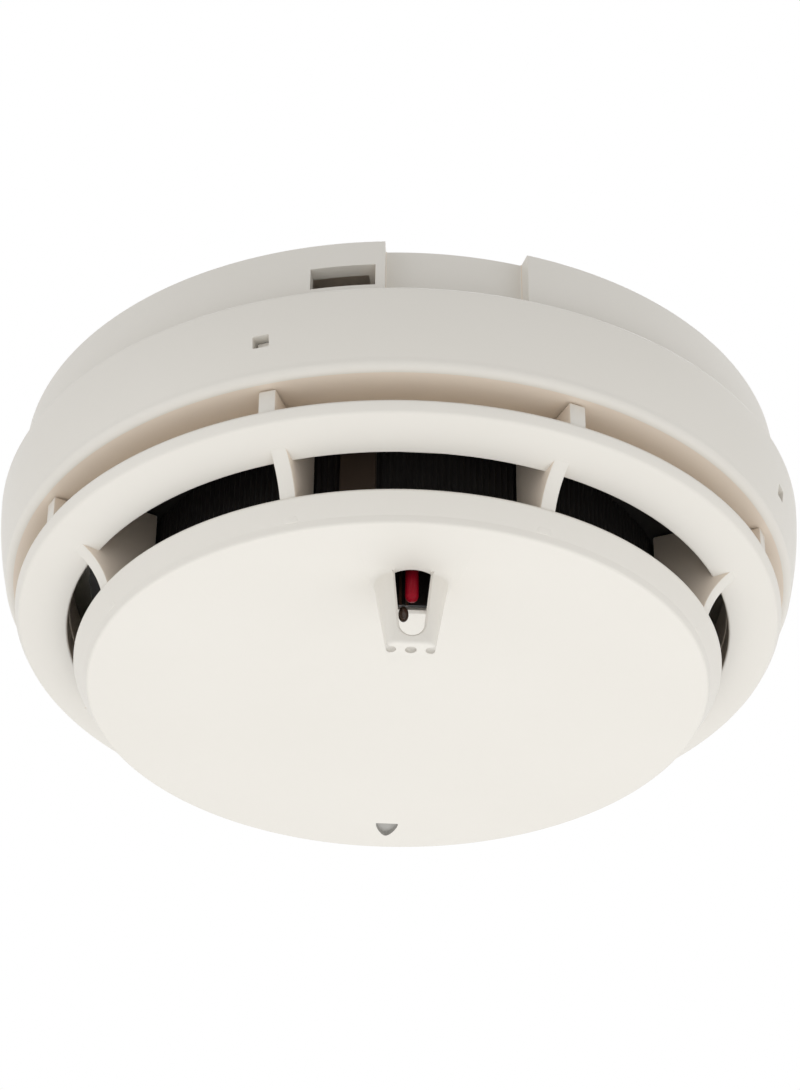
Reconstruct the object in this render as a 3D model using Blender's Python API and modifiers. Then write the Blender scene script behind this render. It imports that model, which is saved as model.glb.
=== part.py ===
"""A round ceiling heat detector on its mounting base, drawn as it hangs.

The origin is the centre of the face that meets the ceiling, +Z is up, and the
detector hangs below it. The front, with the sensor cage, is at -Y. Azimuths turn
from the front towards +X. Sizes are in metres.
"""

import math

import bmesh
import bpy
from mathutils import Matrix, Vector

MM = 0.001

# Clearances
GAP = 0.3 * MM
SCREW_GAP = 0.3 * MM

# Mounting base
BASE_STEP = 2.7 * MM
BASE_HEIGHT = 9.9 * MM
BASE_DRAFT = 0.1 * MM
BASE_WALL = 2.2 * MM
BASE_PLATE = 2.0 * MM
EDGE_BREAK = 0.4 * MM
RECESS_DEPTH = 2.55 * MM
RECESS_FROM = math.radians(-5.6)
RECESS_TO = math.radians(14.4)
SLOT_AZIMUTH = math.radians(-11.4)
SLOT_WIDTH = 8.8 * MM
SLOT_HEIGHT = 3.5 * MM
SLOT_DROP = 4.2 * MM
FIXING_SPREAD = 60.0 * MM
FIXING_WIDTH = 4.5 * MM
FIXING_LENGTH = 9.0 * MM
CABLE_WIDTH = 16.0 * MM
CABLE_DEPTH = 12.0 * MM
CABLE_INSET = 19.75 * MM

# Bayonet
TWIST = math.radians(18.0)
LUG_AZIMUTHS = (math.radians(60.0), math.radians(180.0), math.radians(300.0))
LUG_WIDTH = 12.0 * MM
LUG_HEIGHT = 1.6 * MM
LUG_CLEARANCE = 0.85 * MM
LEDGE_WIDTH = 14.0 * MM
LEDGE_HEIGHT = 2.0 * MM
LEDGE_UP = 0.6 * MM
STOP_WIDTH = 2.0 * MM
STOP_RISE = 1.2 * MM
COLLAR_CLEARANCE = 0.9 * MM
COLLAR_WALL = 2.0 * MM
COLLAR_RIM = 0.8 * MM
COLLAR_GAP = 16.0 * MM

# Terminals and contacts
CONTACT_AZIMUTHS = tuple(math.radians(a) for a in (45.0, 135.0, 225.0, 315.0))
TERMINAL_RADIUS = 18.0 * MM
BOSS_RADIUS = 3.6 * MM
BOSS_HEIGHT = 2.3 * MM
SPRING_SHEET = 0.5 * MM
SPRING_WIDTH = 5.0 * MM
SPRING_REACH = 15.0 * MM
CLAMP_SIDE = 7.0 * MM
CLAMP_SHEET = 1.0 * MM
TERMINAL_SHANK = 1.5 * MM
TERMINAL_HEAD = 2.9 * MM
TERMINAL_HEAD_HEIGHT = 1.6 * MM
DRIVER_SLOT = 0.8 * MM
BLADE_SHEET = 0.8 * MM
BLADE_WIDTH = 6.0 * MM
BLADE_LEAD = math.radians(5.0)
BLADE_LEG = 2.0 * MM

# Detector body
BODY_RADIUS = 58.65 * MM
BODY_HEIGHT = 12.3 * MM
BODY_TAPER = 1.7 * MM
BODY_WALL = 2.0 * MM
LIP_ROUND = 1.3 * MM
GROOVE_DEPTH = 9.05 * MM
WINDOW_WIDTH = 2.3 * MM
WINDOW_HEIGHT = 1.8 * MM
WINDOW_RISE = 5.55 * MM
BARB_INSET = 1.3 * MM
CHASSIS_SHEET = 1.5 * MM
TONGUE_WIDTH = 4.0 * MM
TONGUE_SHEET = 1.0 * MM

# Vented cover
FIN_FRONT = math.radians(21.8)
FIN_SIDE = math.radians(64.35)
STRUT_WIDTH = 2.4 * MM
STRUT_INSET = 0.6 * MM
GROOVE_GAP = 3.9 * MM
RING_INSET = 3.0 * MM
RING_WIDTH = 7.95 * MM
RING_SHOULDER_INSET = 0.9 * MM
RING_SHOULDER_DROP = 1.7 * MM
RING_HEIGHT = 3.0 * MM
RING_CROWN = 0.2 * MM
VENT_HEIGHT = 4.75 * MM
FIN_WIDTH = 2.3 * MM
FIN_DEPTH = 7.35 * MM
FIN_CLEARANCE = 0.6 * MM
GUSSET_REACH = 3.9 * MM
DISC_STEP = 0.95 * MM
DISC_HEIGHT = 4.1 * MM
DISC_SHEET = 2.0 * MM
DISC_RIM = 1.6 * MM
FACE_INSET = 2.05 * MM
FACE_ROUND = 1.0 * MM
HOOK_WIDTH = 6.0 * MM
HOOK_SHEET = 1.4 * MM
HOOK_BARB = 1.3 * MM
HOOK_FOOT = 1.0 * MM
MARK_INSET = 8.1 * MM
MARK_ASIDE = 0.75 * MM
MARK_LENGTH = 3.9 * MM
MARK_WIDTH = 3.5 * MM
MARK_DEPTH = 0.7 * MM

# Sensor cage on the cover
NOSE_HEIGHT = 10.4 * MM
NOSE_WIDTH = 10.0 * MM
NOSE_DEPTH = 7.0 * MM
NOSE_CORNER = 3.0 * MM
NOSE_TAPER = 1.75 * MM
NOSE_WALL = 0.9 * MM
NOSE_CAP = 1.1 * MM
NOSE_WINDOW_TOP = 5.4 * MM
NOSE_WINDOW_BOTTOM = 3.4 * MM
NOSE_RIM = 1.3 * MM
DIMPLE_SPACING = 2.75 * MM
DIMPLE_RADIUS = 0.8 * MM
DIMPLE_DEPTH = 0.5 * MM

# Electronics and sensing chamber
BOARD_INSET = 1.0 * MM
BOARD_SHEET = 1.6 * MM
BOARD_STANDOFF = 1.9 * MM
BOARD_BOSS_RADIUS = 3.0 * MM
BOARD_SCREW_INSET = 6.2 * MM
BOARD_SCREW_AZIMUTHS = (math.radians(38.0), math.radians(158.0), math.radians(278.0))
BOARD_SHANK = 1.0 * MM
BOARD_HEAD = 2.2 * MM
BOARD_HEAD_HEIGHT = 1.0 * MM
CARRIER_CLEARANCE = 0.7 * MM
CARRIER_SHEET = 1.4 * MM
CARRIER_STANDOFF = 3.0 * MM
CARRIER_POST_RADIUS = 2.5 * MM
SCREEN_CLEARANCE = 0.55 * MM
SCREEN_WALL = 1.1 * MM
SCREEN_RIBS = 135
SCREEN_RIB_DEPTH = 0.3 * MM
PILLAR_AZIMUTH = math.radians(-11.5)
PILLAR_WIDTH = 4.9 * MM
PILLAR_REACH = 0.8 * MM
CARRIER_RIM = 1.5 * MM
CARRIER_RIM_HEIGHT = 3.0 * MM
STALK_RADIUS = 3.8 * MM
STALK_CLEARANCE = 0.6 * MM
STALK_FLANGE = 1.6 * MM
STALK_FLANGE_SHEET = 1.2 * MM
STALK_SKIN = 0.5 * MM
STALK_HOLLOW = 3.0 * MM
STALK_DROP = 2.4 * MM
GUIDE_RADIUS = 0.9 * MM
GUIDE_FORWARD = 1.45 * MM
GUIDE_DROP = 3.75 * MM
BEAD_RADIUS = 0.75 * MM
BEAD_LENGTH = 2.4 * MM
BEAD_DROP = 5.85 * MM
BEAD_ASIDE = -1.0 * MM
BEAD_BACK = 0.25 * MM
LEAD_RADIUS = 0.22 * MM
LEAD_SPACING = 0.9 * MM
LEAD_GAP = 0.15 * MM
LED_WIDTH = 3.2 * MM
LED_DEPTH = 2.0 * MM
LED_HEIGHT = 1.2 * MM
CHIP_SIDE = 9.0 * MM
CHIP_HEIGHT = 1.2 * MM
CHIP_PLACE = (-14.0 * MM, 16.0 * MM)
CAN_RADIUS = 3.2 * MM
CAN_PLACE = (16.0 * MM, 14.0 * MM)
PART_BEVEL = 0.2 * MM

# Facets
ROUND_STEPS = 48
SMALL_STEPS = 24
TINY_STEPS = 16
ARC_STEPS = 5

# Heights, all measured from the ceiling down, so below zero
BASE_FOOT = -BASE_HEIGHT
BODY_TOP = BASE_FOOT - GAP
CHASSIS_TOP = BODY_TOP - GAP
CHASSIS_FOOT = CHASSIS_TOP - CHASSIS_SHEET
BOARD_TOP = CHASSIS_FOOT - BOARD_STANDOFF - GAP
BOARD_FOOT = BOARD_TOP - BOARD_SHEET
CARRIER_TOP = BOARD_FOOT - CARRIER_STANDOFF
CARRIER_FOOT = CARRIER_TOP - CARRIER_SHEET
LIP_FOOT = BODY_TOP - BODY_HEIGHT
ROOF_TOP = LIP_FOOT + BODY_WALL
RING_TOP = LIP_FOOT - GROOVE_GAP
VENT_TOP = RING_TOP - RING_HEIGHT
DISC_TOP = VENT_TOP - VENT_HEIGHT
FACE = DISC_TOP - DISC_HEIGHT
DISC_INSIDE = FACE + DISC_SHEET
NOSE_TIP = FACE - NOSE_HEIGHT
WINDOW_MIDDLE = LIP_FOOT + WINDOW_RISE
LEDGE_FOOT = BASE_FOOT + LEDGE_UP
LEDGE_TOP = LEDGE_FOOT + LEDGE_HEIGHT
LUG_FOOT = LEDGE_TOP + GAP
LUG_TOP = LUG_FOOT + LUG_HEIGHT
COLLAR_TOP = LUG_TOP + COLLAR_RIM
BLADE_FOOT = CHASSIS_TOP + GAP
BLADE_TOP = BLADE_FOOT + BLADE_SHEET
BOSS_FOOT = -BASE_PLATE - BOSS_HEIGHT
SPRING_TOP = BOSS_FOOT - GAP
CLAMP_TOP = SPRING_TOP - SPRING_SHEET - GAP
TERMINAL_HEAD_TOP = CLAMP_TOP - CLAMP_SHEET - GAP

# Radii worked out from the body's radius inwards
BASE_RADIUS = BODY_RADIUS - BASE_STEP
BASE_BORE = BASE_RADIUS - BASE_WALL
RECESS_RADIUS = BASE_RADIUS - RECESS_DEPTH
CABLE_RADIUS = BASE_BORE - CABLE_INSET
COLLAR_RADIUS = RECESS_RADIUS - BASE_WALL - COLLAR_CLEARANCE
COLLAR_BORE = COLLAR_RADIUS - COLLAR_WALL
LUG_RADIUS = BASE_BORE - LUG_CLEARANCE
LEDGE_RADIUS = COLLAR_RADIUS + 2 * GAP
SPRING_TIP = TERMINAL_RADIUS + SPRING_REACH
GROOVE_BACK = BODY_RADIUS - GROOVE_DEPTH
BACK_WALL_BORE = GROOVE_BACK - BODY_WALL
RING_RADIUS = BODY_RADIUS - RING_INSET
VENT_RADIUS = RING_RADIUS - RING_WIDTH
DISC_RADIUS = VENT_RADIUS - DISC_STEP
FACE_RADIUS = DISC_RADIUS - FACE_INSET
MARK_RADIUS = FACE_RADIUS - MARK_INSET
FIN_INSIDE = DISC_RADIUS - FIN_DEPTH
CARRIER_RADIUS = BACK_WALL_BORE - GAP - HOOK_SHEET - CARRIER_CLEARANCE
BOARD_RADIUS = CARRIER_RADIUS - BOARD_INSET
BOARD_SCREW_CIRCLE = BOARD_RADIUS - BOARD_SCREW_INSET
SCREEN_RADIUS = FIN_INSIDE - SCREEN_CLEARANCE
SCREEN_BORE = SCREEN_RADIUS - SCREEN_WALL
RIM_OUTSIDE = SCREEN_BORE - GAP
RIM_INSIDE = RIM_OUTSIDE - CARRIER_RIM
NOSE_OFFSET = RIM_INSIDE - STALK_CLEARANCE - STALK_FLANGE - STALK_RADIUS

# Places round the axis
FIN_QUARTER = (FIN_FRONT, FIN_SIDE, math.pi - FIN_SIDE, math.pi - FIN_FRONT)
STRUT_AZIMUTHS = FIN_QUARTER + tuple(math.pi + azimuth for azimuth in FIN_QUARTER)
WINDOW_AZIMUTHS = STRUT_AZIMUTHS[1::2]
HOOK_AZIMUTHS = tuple(math.radians(angle) for angle in (0.0, 137.0, 223.0))

PARTS = "heat_detector"
HELPERS = "cutters"


# Scene and materials
def clear_scene():
    for item in list(bpy.data.objects):
        bpy.data.objects.remove(item, do_unlink=True)


def add_collection(name):
    collection = bpy.data.collections.new(name)
    bpy.context.scene.collection.children.link(collection)
    return collection


def make_material(name, colour, roughness, metallic=0.0):
    material = bpy.data.materials.new(name)
    material.use_nodes = True
    shader = material.node_tree.nodes["Principled BSDF"]
    shader.inputs["Base Color"].default_value = (*colour, 1.0)
    shader.inputs["Roughness"].default_value = roughness
    shader.inputs["Metallic"].default_value = metallic
    return material


def place_in(obj, collection_name):
    bpy.data.collections[collection_name].objects.link(obj)
    if collection_name == HELPERS:
        obj.hide_render = True
        obj.display_type = "WIRE"
    return obj


# Building blocks
def polar(azimuth, radius):
    """The plan position at an azimuth from the front."""
    return Vector((radius * math.sin(azimuth), -radius * math.cos(azimuth), 0.0))


def arc(centre, radius, start, end, steps=ARC_STEPS):
    """Points on an arc, from one angle to another, both in degrees."""
    points = []
    for step in range(steps + 1):
        angle = math.radians(start + (end - start) * step / steps)
        points.append((centre[0] + radius * math.cos(angle), centre[1] + radius * math.sin(angle)))
    return points


def turned(name, outline, collection=HELPERS, closed=True, steps=ROUND_STEPS, centre=(0.0, 0.0, 0.0)):
    """A turned shape: an outline of (radius, height), spun round a vertical axis."""
    count = len(outline)
    edges = [(i, i + 1) for i in range(count - 1)]
    if closed:
        edges.append((count - 1, 0))
    mesh = bpy.data.meshes.new(name)
    mesh.from_pydata([(radius, 0.0, height) for radius, height in outline], edges, [])
    obj = place_in(bpy.data.objects.new(name, mesh), collection)
    obj.location = centre
    screw = obj.modifiers.new("turn", "SCREW")
    screw.axis = "Z"
    screw.angle = 2 * math.pi
    screw.steps = steps
    screw.render_steps = steps
    screw.use_merge_vertices = True
    screw.merge_threshold = 1e-6
    screw.use_smooth_shade = True
    return obj


def rod(name, radius, top, foot, collection=HELPERS, steps=TINY_STEPS, centre=(0.0, 0.0, 0.0)):
    outline = [(0.0, top), (radius, top), (radius, foot), (0.0, foot)]
    return turned(name, outline, collection, False, steps, centre)


def flat_outline(points, thickness):
    """A closed mesh: an outline in its own plane, with half its thickness on each side."""
    curve = bpy.data.curves.new("outline", "CURVE")
    curve.dimensions = "2D"
    curve.fill_mode = "BOTH"
    curve.extrude = thickness / 2
    spline = curve.splines.new("POLY")
    spline.points.add(len(points) - 1)
    for point, (x, y) in zip(spline.points, points):
        point.co = (x, y, 0.0, 1.0)
    spline.use_cyclic_u = True
    holder = place_in(bpy.data.objects.new("outline", curve), HELPERS)
    graph = bpy.context.evaluated_depsgraph_get()
    mesh = bpy.data.meshes.new_from_object(holder.evaluated_get(graph))
    bpy.data.objects.remove(holder, do_unlink=True)
    bpy.data.curves.remove(curve)
    return mesh


def copies(name, mesh, places, collection=HELPERS):
    """One object that holds a mesh at each of the given placements."""
    shape = bmesh.new()
    for place in places:
        start = len(shape.verts)
        shape.from_mesh(mesh)
        shape.verts.ensure_lookup_table()
        bmesh.ops.transform(shape, matrix=place, verts=shape.verts[start:])
    bmesh.ops.remove_doubles(shape, verts=shape.verts, dist=1e-7)
    bmesh.ops.recalc_face_normals(shape, faces=shape.faces)
    result = bpy.data.meshes.new(name)
    shape.to_mesh(result)
    shape.free()
    return place_in(bpy.data.objects.new(name, result), collection)


def plan_prism(name, points, top, foot, collection=HELPERS):
    """An outline seen from above, between two heights."""
    mesh = flat_outline(points, top - foot)
    return copies(name, mesh, [Matrix.Translation((0.0, 0.0, (top + foot) / 2))], collection)


def radial_webs(name, outline, width, azimuths, collection=HELPERS):
    """Upright webs with an outline of (radius, height), one at each azimuth."""
    mesh = flat_outline(outline, width)
    stand = Matrix(((0, 0, 1, 0), (-1, 0, 0, 0), (0, 1, 0, 0), (0, 0, 0, 1)))
    places = [Matrix.Rotation(azimuth, 4, "Z") @ stand for azimuth in azimuths]
    return copies(name, mesh, places, collection)


def blocks(name, boxes, collection=HELPERS):
    """Boxes given by azimuth and by their limits across, outwards and in height."""
    shape = bmesh.new()
    for azimuth, across, outward, height in boxes:
        size = (across[1] - across[0], outward[1] - outward[0], height[1] - height[0])
        middle = (sum(across) / 2, -sum(outward) / 2, sum(height) / 2)
        place = Matrix.Rotation(azimuth, 4, "Z") @ Matrix.Translation(middle)
        bmesh.ops.create_cube(shape, size=1.0, matrix=place @ Matrix.Diagonal((*size, 1.0)))
    mesh = bpy.data.meshes.new(name)
    shape.to_mesh(mesh)
    shape.free()
    return place_in(bpy.data.objects.new(name, mesh), collection)


def lofted(name, sections, centre, collection=HELPERS):
    """A body through level sections, each a height, half width, half depth and corner radius."""
    shape = bmesh.new()
    rings = []
    for height, across, deep, corner in sections:
        ring = []
        for quarter, (x, y) in enumerate(((1, 1), (-1, 1), (-1, -1), (1, -1))):
            middle = (centre[0] + x * (across - corner), centre[1] + y * (deep - corner))
            for point in arc(middle, corner, 90 * quarter, 90 * (quarter + 1)):
                ring.append(shape.verts.new((*point, height)))
        rings.append(ring)
    for upper, lower in zip(rings, rings[1:]):
        for k in range(len(upper)):
            shape.faces.new((upper[k - 1], upper[k], lower[k], lower[k - 1]))
    shape.faces.new(rings[0])
    shape.faces.new(rings[-1])
    bmesh.ops.recalc_face_normals(shape, faces=shape.faces)
    mesh = bpy.data.meshes.new(name)
    shape.to_mesh(mesh)
    shape.free()
    return place_in(bpy.data.objects.new(name, mesh), collection)


def sector(inner, outer, start, end, steps):
    """The plan outline of a ring's sector between two azimuths."""
    turns = [start + (end - start) * k / steps for k in range(steps + 1)]
    far = [polar(a, outer) for a in turns]
    near = [polar(a, inner) for a in reversed(turns)]
    return [(p.x, p.y) for p in far + near]


def combine(target, operand, operation):
    boolean = target.modifiers.new(operand.name, "BOOLEAN")
    boolean.operation = operation
    boolean.solver = "EXACT"
    boolean.object = operand


def join(target, operand):
    combine(target, operand, "UNION")


def cut(target, operand):
    combine(target, operand, "DIFFERENCE")


def soften(obj, width):
    bevel = obj.modifiers.new("soften", "BEVEL")
    bevel.width = width
    bevel.segments = 1
    bevel.limit_method = "ANGLE"


def finish(obj, material):
    obj.data.materials.clear()
    obj.data.materials.append(material)
    return obj


# Mounting base
def build_base(material):
    outer_top = BASE_RADIUS
    outer_foot = BASE_RADIUS + BASE_DRAFT
    base = turned(
        "mounting_base",
        [
            (0.0, 0.0),
            (outer_top - EDGE_BREAK, 0.0),
            (outer_top, -EDGE_BREAK),
            (outer_foot, BASE_FOOT + EDGE_BREAK),
            (outer_foot - EDGE_BREAK, BASE_FOOT),
            (BASE_BORE, BASE_FOOT),
            (BASE_BORE, -BASE_PLATE),
            (0.0, -BASE_PLATE),
        ],
        PARTS,
        closed=False,
    )
    # The wall steps back between two azimuths, where a surface cable comes in.
    side = BASE_WALL / RECESS_RADIUS
    radii = (RECESS_RADIUS - BASE_WALL, BASE_BORE + BASE_WALL / 2)
    backing = sector(*radii, RECESS_FROM - side, RECESS_TO + side, 8)
    join(base, plan_prism("recess_wall", backing, -BASE_PLATE / 2, BASE_FOOT))
    outside = sector(RECESS_RADIUS, BASE_RADIUS + BASE_WALL, RECESS_FROM, RECESS_TO, 8)
    cut(base, plan_prism("recess_cut", outside, BASE_PLATE, BASE_FOOT - BASE_PLATE))
    slot_top = -SLOT_DROP
    slot_across = (-SLOT_WIDTH / 2, SLOT_WIDTH / 2)
    slot = (SLOT_AZIMUTH, slot_across, (COLLAR_RADIUS, BODY_RADIUS), (slot_top - SLOT_HEIGHT, slot_top))
    cut(base, blocks("wall_slot", [slot]))

    # Three bayonet ledges, each with a stop where the lug locks and one where it frees.
    ledges = []
    outward = (LEDGE_RADIUS, BASE_BORE + BASE_WALL / 2)
    near_stop = LUG_WIDTH / 2 + GAP
    for azimuth in LUG_AZIMUTHS:
        ledge_across = (-LEDGE_WIDTH / 2, near_stop + STOP_WIDTH / 2)
        ledges.append((azimuth, ledge_across, outward, (LEDGE_FOOT, LEDGE_TOP)))
    join(base, blocks("bayonet_ledges", ledges))
    stops = []
    for azimuth in LUG_AZIMUTHS:
        height = (LEDGE_FOOT + EDGE_BREAK, LUG_TOP + STOP_RISE)
        stops.append((azimuth, (near_stop, near_stop + STOP_WIDTH), outward, height))
        stops.append((azimuth - TWIST, (-near_stop - STOP_WIDTH, -near_stop), outward, height))
    join(base, blocks("bayonet_stops", stops))

    # Terminal bosses with blind screw holes
    for index, azimuth in enumerate(CONTACT_AZIMUTHS):
        centre = polar(azimuth, TERMINAL_RADIUS)
        join(base, rod(f"terminal_boss_{index}", BOSS_RADIUS, -BASE_PLATE / 2, BOSS_FOOT, centre=centre))
    for index, azimuth in enumerate(CONTACT_AZIMUTHS):
        centre = polar(azimuth, TERMINAL_RADIUS)
        hole = TERMINAL_SHANK + SCREW_GAP
        cut(base, rod(f"terminal_hole_{index}", hole, -BASE_PLATE / 2, BOSS_FOOT - GAP, centre=centre))

    # Two slotted fixing holes and the cable entry
    straight = (FIXING_LENGTH - FIXING_WIDTH) / 2
    right = arc((straight, 0.0), FIXING_WIDTH / 2, -90, 90, 6)
    left = arc((-straight, 0.0), FIXING_WIDTH / 2, 90, 270, 6)
    hole = flat_outline(right + left, BASE_PLATE * 3)
    places = [Matrix.Translation((side * FIXING_SPREAD / 2, 0.0, -BASE_PLATE / 2)) for side in (-1, 1)]
    cut(base, copies("fixing_holes", hole, places))
    depth = (CABLE_RADIUS - CABLE_DEPTH / 2, CABLE_RADIUS + CABLE_DEPTH / 2)
    entry = (math.pi, (-CABLE_WIDTH / 2, CABLE_WIDTH / 2), depth, (-BASE_PLATE * 2, BASE_PLATE))
    cut(base, blocks("cable_entry", [entry]))
    return finish(base, material)


# Terminals on the base: contact spring, clamp plate and screw
def build_terminals(spring_material, clamp_material, screw_material):
    shank_hole = TERMINAL_SHANK + SCREW_GAP
    spring_foot = BLADE_TOP + GAP
    for index, azimuth in enumerate(CONTACT_AZIMUTHS, start=1):
        centre = polar(azimuth, TERMINAL_RADIUS)
        seat = TERMINAL_RADIUS + CLAMP_SIDE / 2 + GAP
        slope = SPRING_TIP - 2.5 * BOSS_RADIUS / 2
        path = [
            (TERMINAL_RADIUS - CLAMP_SIDE / 2, SPRING_TOP),
            (seat, SPRING_TOP),
            (slope, (SPRING_TOP + spring_foot) / 2),
            (SPRING_TIP - SPRING_SHEET, spring_foot + SPRING_SHEET),
            (SPRING_TIP + SPRING_SHEET, spring_foot + SPRING_SHEET),
            (SPRING_TIP + CLAMP_SIDE / 3, spring_foot + 3 * SPRING_SHEET),
        ]
        underside = [(r, z - SPRING_SHEET) for r, z in reversed(path)]
        name = f"contact_spring_{index}"
        spring = radial_webs(name, path + underside, SPRING_WIDTH, [azimuth], PARTS)
        cut(spring, rod(f"{name}_hole", shank_hole, SPRING_TOP + GAP, CLAMP_TOP, centre=centre))
        finish(spring, spring_material)

        half = CLAMP_SIDE / 2
        height = (CLAMP_TOP - CLAMP_SHEET, CLAMP_TOP)
        box = (azimuth, (-half, half), (TERMINAL_RADIUS - half, TERMINAL_RADIUS + half), height)
        clamp = blocks(f"terminal_clamp_{index}", [box], PARTS)
        soften(clamp, PART_BEVEL)
        hole_ends = (CLAMP_TOP + GAP, TERMINAL_HEAD_TOP)
        cut(clamp, rod(f"terminal_clamp_hole_{index}", shank_hole, *hole_ends, centre=centre))
        finish(clamp, clamp_material)

        screw_foot = TERMINAL_HEAD_TOP - TERMINAL_HEAD_HEIGHT
        screw = turned(
            f"terminal_screw_{index}",
            [
                (0.0, -BASE_PLATE / 2 - SCREW_GAP),
                (TERMINAL_SHANK, -BASE_PLATE / 2 - SCREW_GAP),
                (TERMINAL_SHANK, TERMINAL_HEAD_TOP),
                (TERMINAL_HEAD, TERMINAL_HEAD_TOP),
                (TERMINAL_HEAD, screw_foot + EDGE_BREAK),
                (TERMINAL_HEAD - EDGE_BREAK, screw_foot),
                (0.0, screw_foot),
            ],
            PARTS,
            closed=False,
            steps=TINY_STEPS,
            centre=centre,
        )
        reach = TERMINAL_HEAD * 2
        groove = (
            azimuth,
            (-DRIVER_SLOT / 2, DRIVER_SLOT / 2),
            (TERMINAL_RADIUS - reach, TERMINAL_RADIUS + reach),
            (screw_foot - GAP, screw_foot + DRIVER_SLOT),
        )
        cut(screw, blocks(f"driver_slot_{index}", [groove]))
        finish(screw, screw_material)


# Rear chassis of the head: plate, collar with bayonet lugs, snap tongues and board bosses
def band_radius(height):
    """The body's outer radius: full at the top, drawn in towards the lip."""
    share = (BODY_TOP - height) / BODY_HEIGHT
    return BODY_RADIUS - BODY_TAPER * share * share


def chassis_radius():
    return band_radius(CHASSIS_FOOT) - BODY_WALL - GAP


def build_chassis(material):
    rim = chassis_radius()
    chassis = turned(
        "rear_chassis",
        [
            (0.0, CHASSIS_TOP),
            (COLLAR_BORE, CHASSIS_TOP),
            (COLLAR_BORE, COLLAR_TOP),
            (COLLAR_RADIUS - EDGE_BREAK, COLLAR_TOP),
            (COLLAR_RADIUS, COLLAR_TOP - EDGE_BREAK),
            (COLLAR_RADIUS, CHASSIS_TOP),
            (rim, CHASSIS_TOP),
            (rim, CHASSIS_FOOT),
            (0.0, CHASSIS_FOOT),
        ],
        PARTS,
        closed=False,
    )
    lugs = []
    for azimuth in LUG_AZIMUTHS:
        across = (-LUG_WIDTH / 2, LUG_WIDTH / 2)
        lugs.append((azimuth, across, (COLLAR_RADIUS - COLLAR_WALL / 2, LUG_RADIUS), (LUG_FOOT, LUG_TOP)))
    join(chassis, blocks("bayonet_lugs", lugs))

    # The collar is left open behind the slot in the base's wall.
    half = COLLAR_GAP / 2
    outward = (COLLAR_BORE - COLLAR_WALL, COLLAR_RADIUS + GAP)
    opening = (SLOT_AZIMUTH, (-half, half), outward, (CHASSIS_TOP + EDGE_BREAK, COLLAR_TOP + EDGE_BREAK))
    cut(chassis, blocks("collar_opening", [opening]))

    # Snap tongues run down inside the body, and their barbs sit in its square windows.
    tongue_face = band_radius(WINDOW_MIDDLE) - BODY_WALL - GAP - BODY_WALL / 8
    barb_side = WINDOW_WIDTH / 2 - GAP
    barb_half = WINDOW_HEIGHT / 2 - GAP
    tongues = []
    barbs = []
    for azimuth in WINDOW_AZIMUTHS:
        outward = (tongue_face - TONGUE_SHEET, tongue_face)
        height = (WINDOW_MIDDLE - WINDOW_HEIGHT / 2 + GAP / 2, CHASSIS_FOOT + CHASSIS_SHEET / 2)
        tongues.append((azimuth, (-TONGUE_WIDTH / 2, TONGUE_WIDTH / 2), outward, height))
        reach = (tongue_face - TONGUE_SHEET / 2, band_radius(WINDOW_MIDDLE) - BARB_INSET)
        barb_height = (WINDOW_MIDDLE - barb_half, WINDOW_MIDDLE + barb_half)
        barbs.append((azimuth, (-barb_side, barb_side), reach, barb_height))
    join(chassis, blocks("snap_tongues", tongues))
    join(chassis, blocks("snap_barbs", barbs))

    slots = []
    for azimuth in CONTACT_AZIMUTHS:
        half = BLADE_LEG / 2 + GAP
        sheet = BLADE_SHEET / 2 + GAP
        outward = (SPRING_TIP - sheet, SPRING_TIP + sheet)
        slots.append((azimuth + TWIST / 2, (-half, half), outward, (CHASSIS_FOOT - GAP, CHASSIS_TOP + GAP)))
    cut(chassis, blocks("blade_slots", slots))

    for index, azimuth in enumerate(BOARD_SCREW_AZIMUTHS):
        centre = polar(azimuth, BOARD_SCREW_CIRCLE)
        foot = BOARD_TOP + GAP
        boss_top = CHASSIS_FOOT + CHASSIS_SHEET / 2
        join(chassis, rod(f"board_boss_{index}", BOARD_BOSS_RADIUS, boss_top, foot, centre=centre))
    for index, azimuth in enumerate(BOARD_SCREW_AZIMUTHS):
        centre = polar(azimuth, BOARD_SCREW_CIRCLE)
        top = CHASSIS_FOOT + CHASSIS_SHEET / 2
        cut(chassis, rod(f"board_boss_hole_{index}", BOARD_SHANK + SCREW_GAP, top, BOARD_TOP, centre=centre))

    return finish(chassis, material)


# Contact blades on the chassis: each stays under its spring through the whole twist
def build_blades(material):
    for index, azimuth in enumerate(CONTACT_AZIMUTHS, start=1):
        inner = SPRING_TIP - BLADE_WIDTH / 2
        plan = sector(inner, inner + BLADE_WIDTH, azimuth - BLADE_LEAD, azimuth + TWIST + BLADE_LEAD, 6)
        blade = plan_prism(f"contact_blade_{index}", plan, BLADE_TOP, BLADE_FOOT, PARTS)
        half = BLADE_LEG / 2
        outward = (SPRING_TIP - BLADE_SHEET / 2, SPRING_TIP + BLADE_SHEET / 2)
        leg = (azimuth + TWIST / 2, (-half, half), outward, (BOARD_TOP + GAP, BLADE_TOP - BLADE_SHEET / 4))
        join(blade, blocks(f"blade_leg_{index}", [leg]))
        finish(blade, material)


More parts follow.
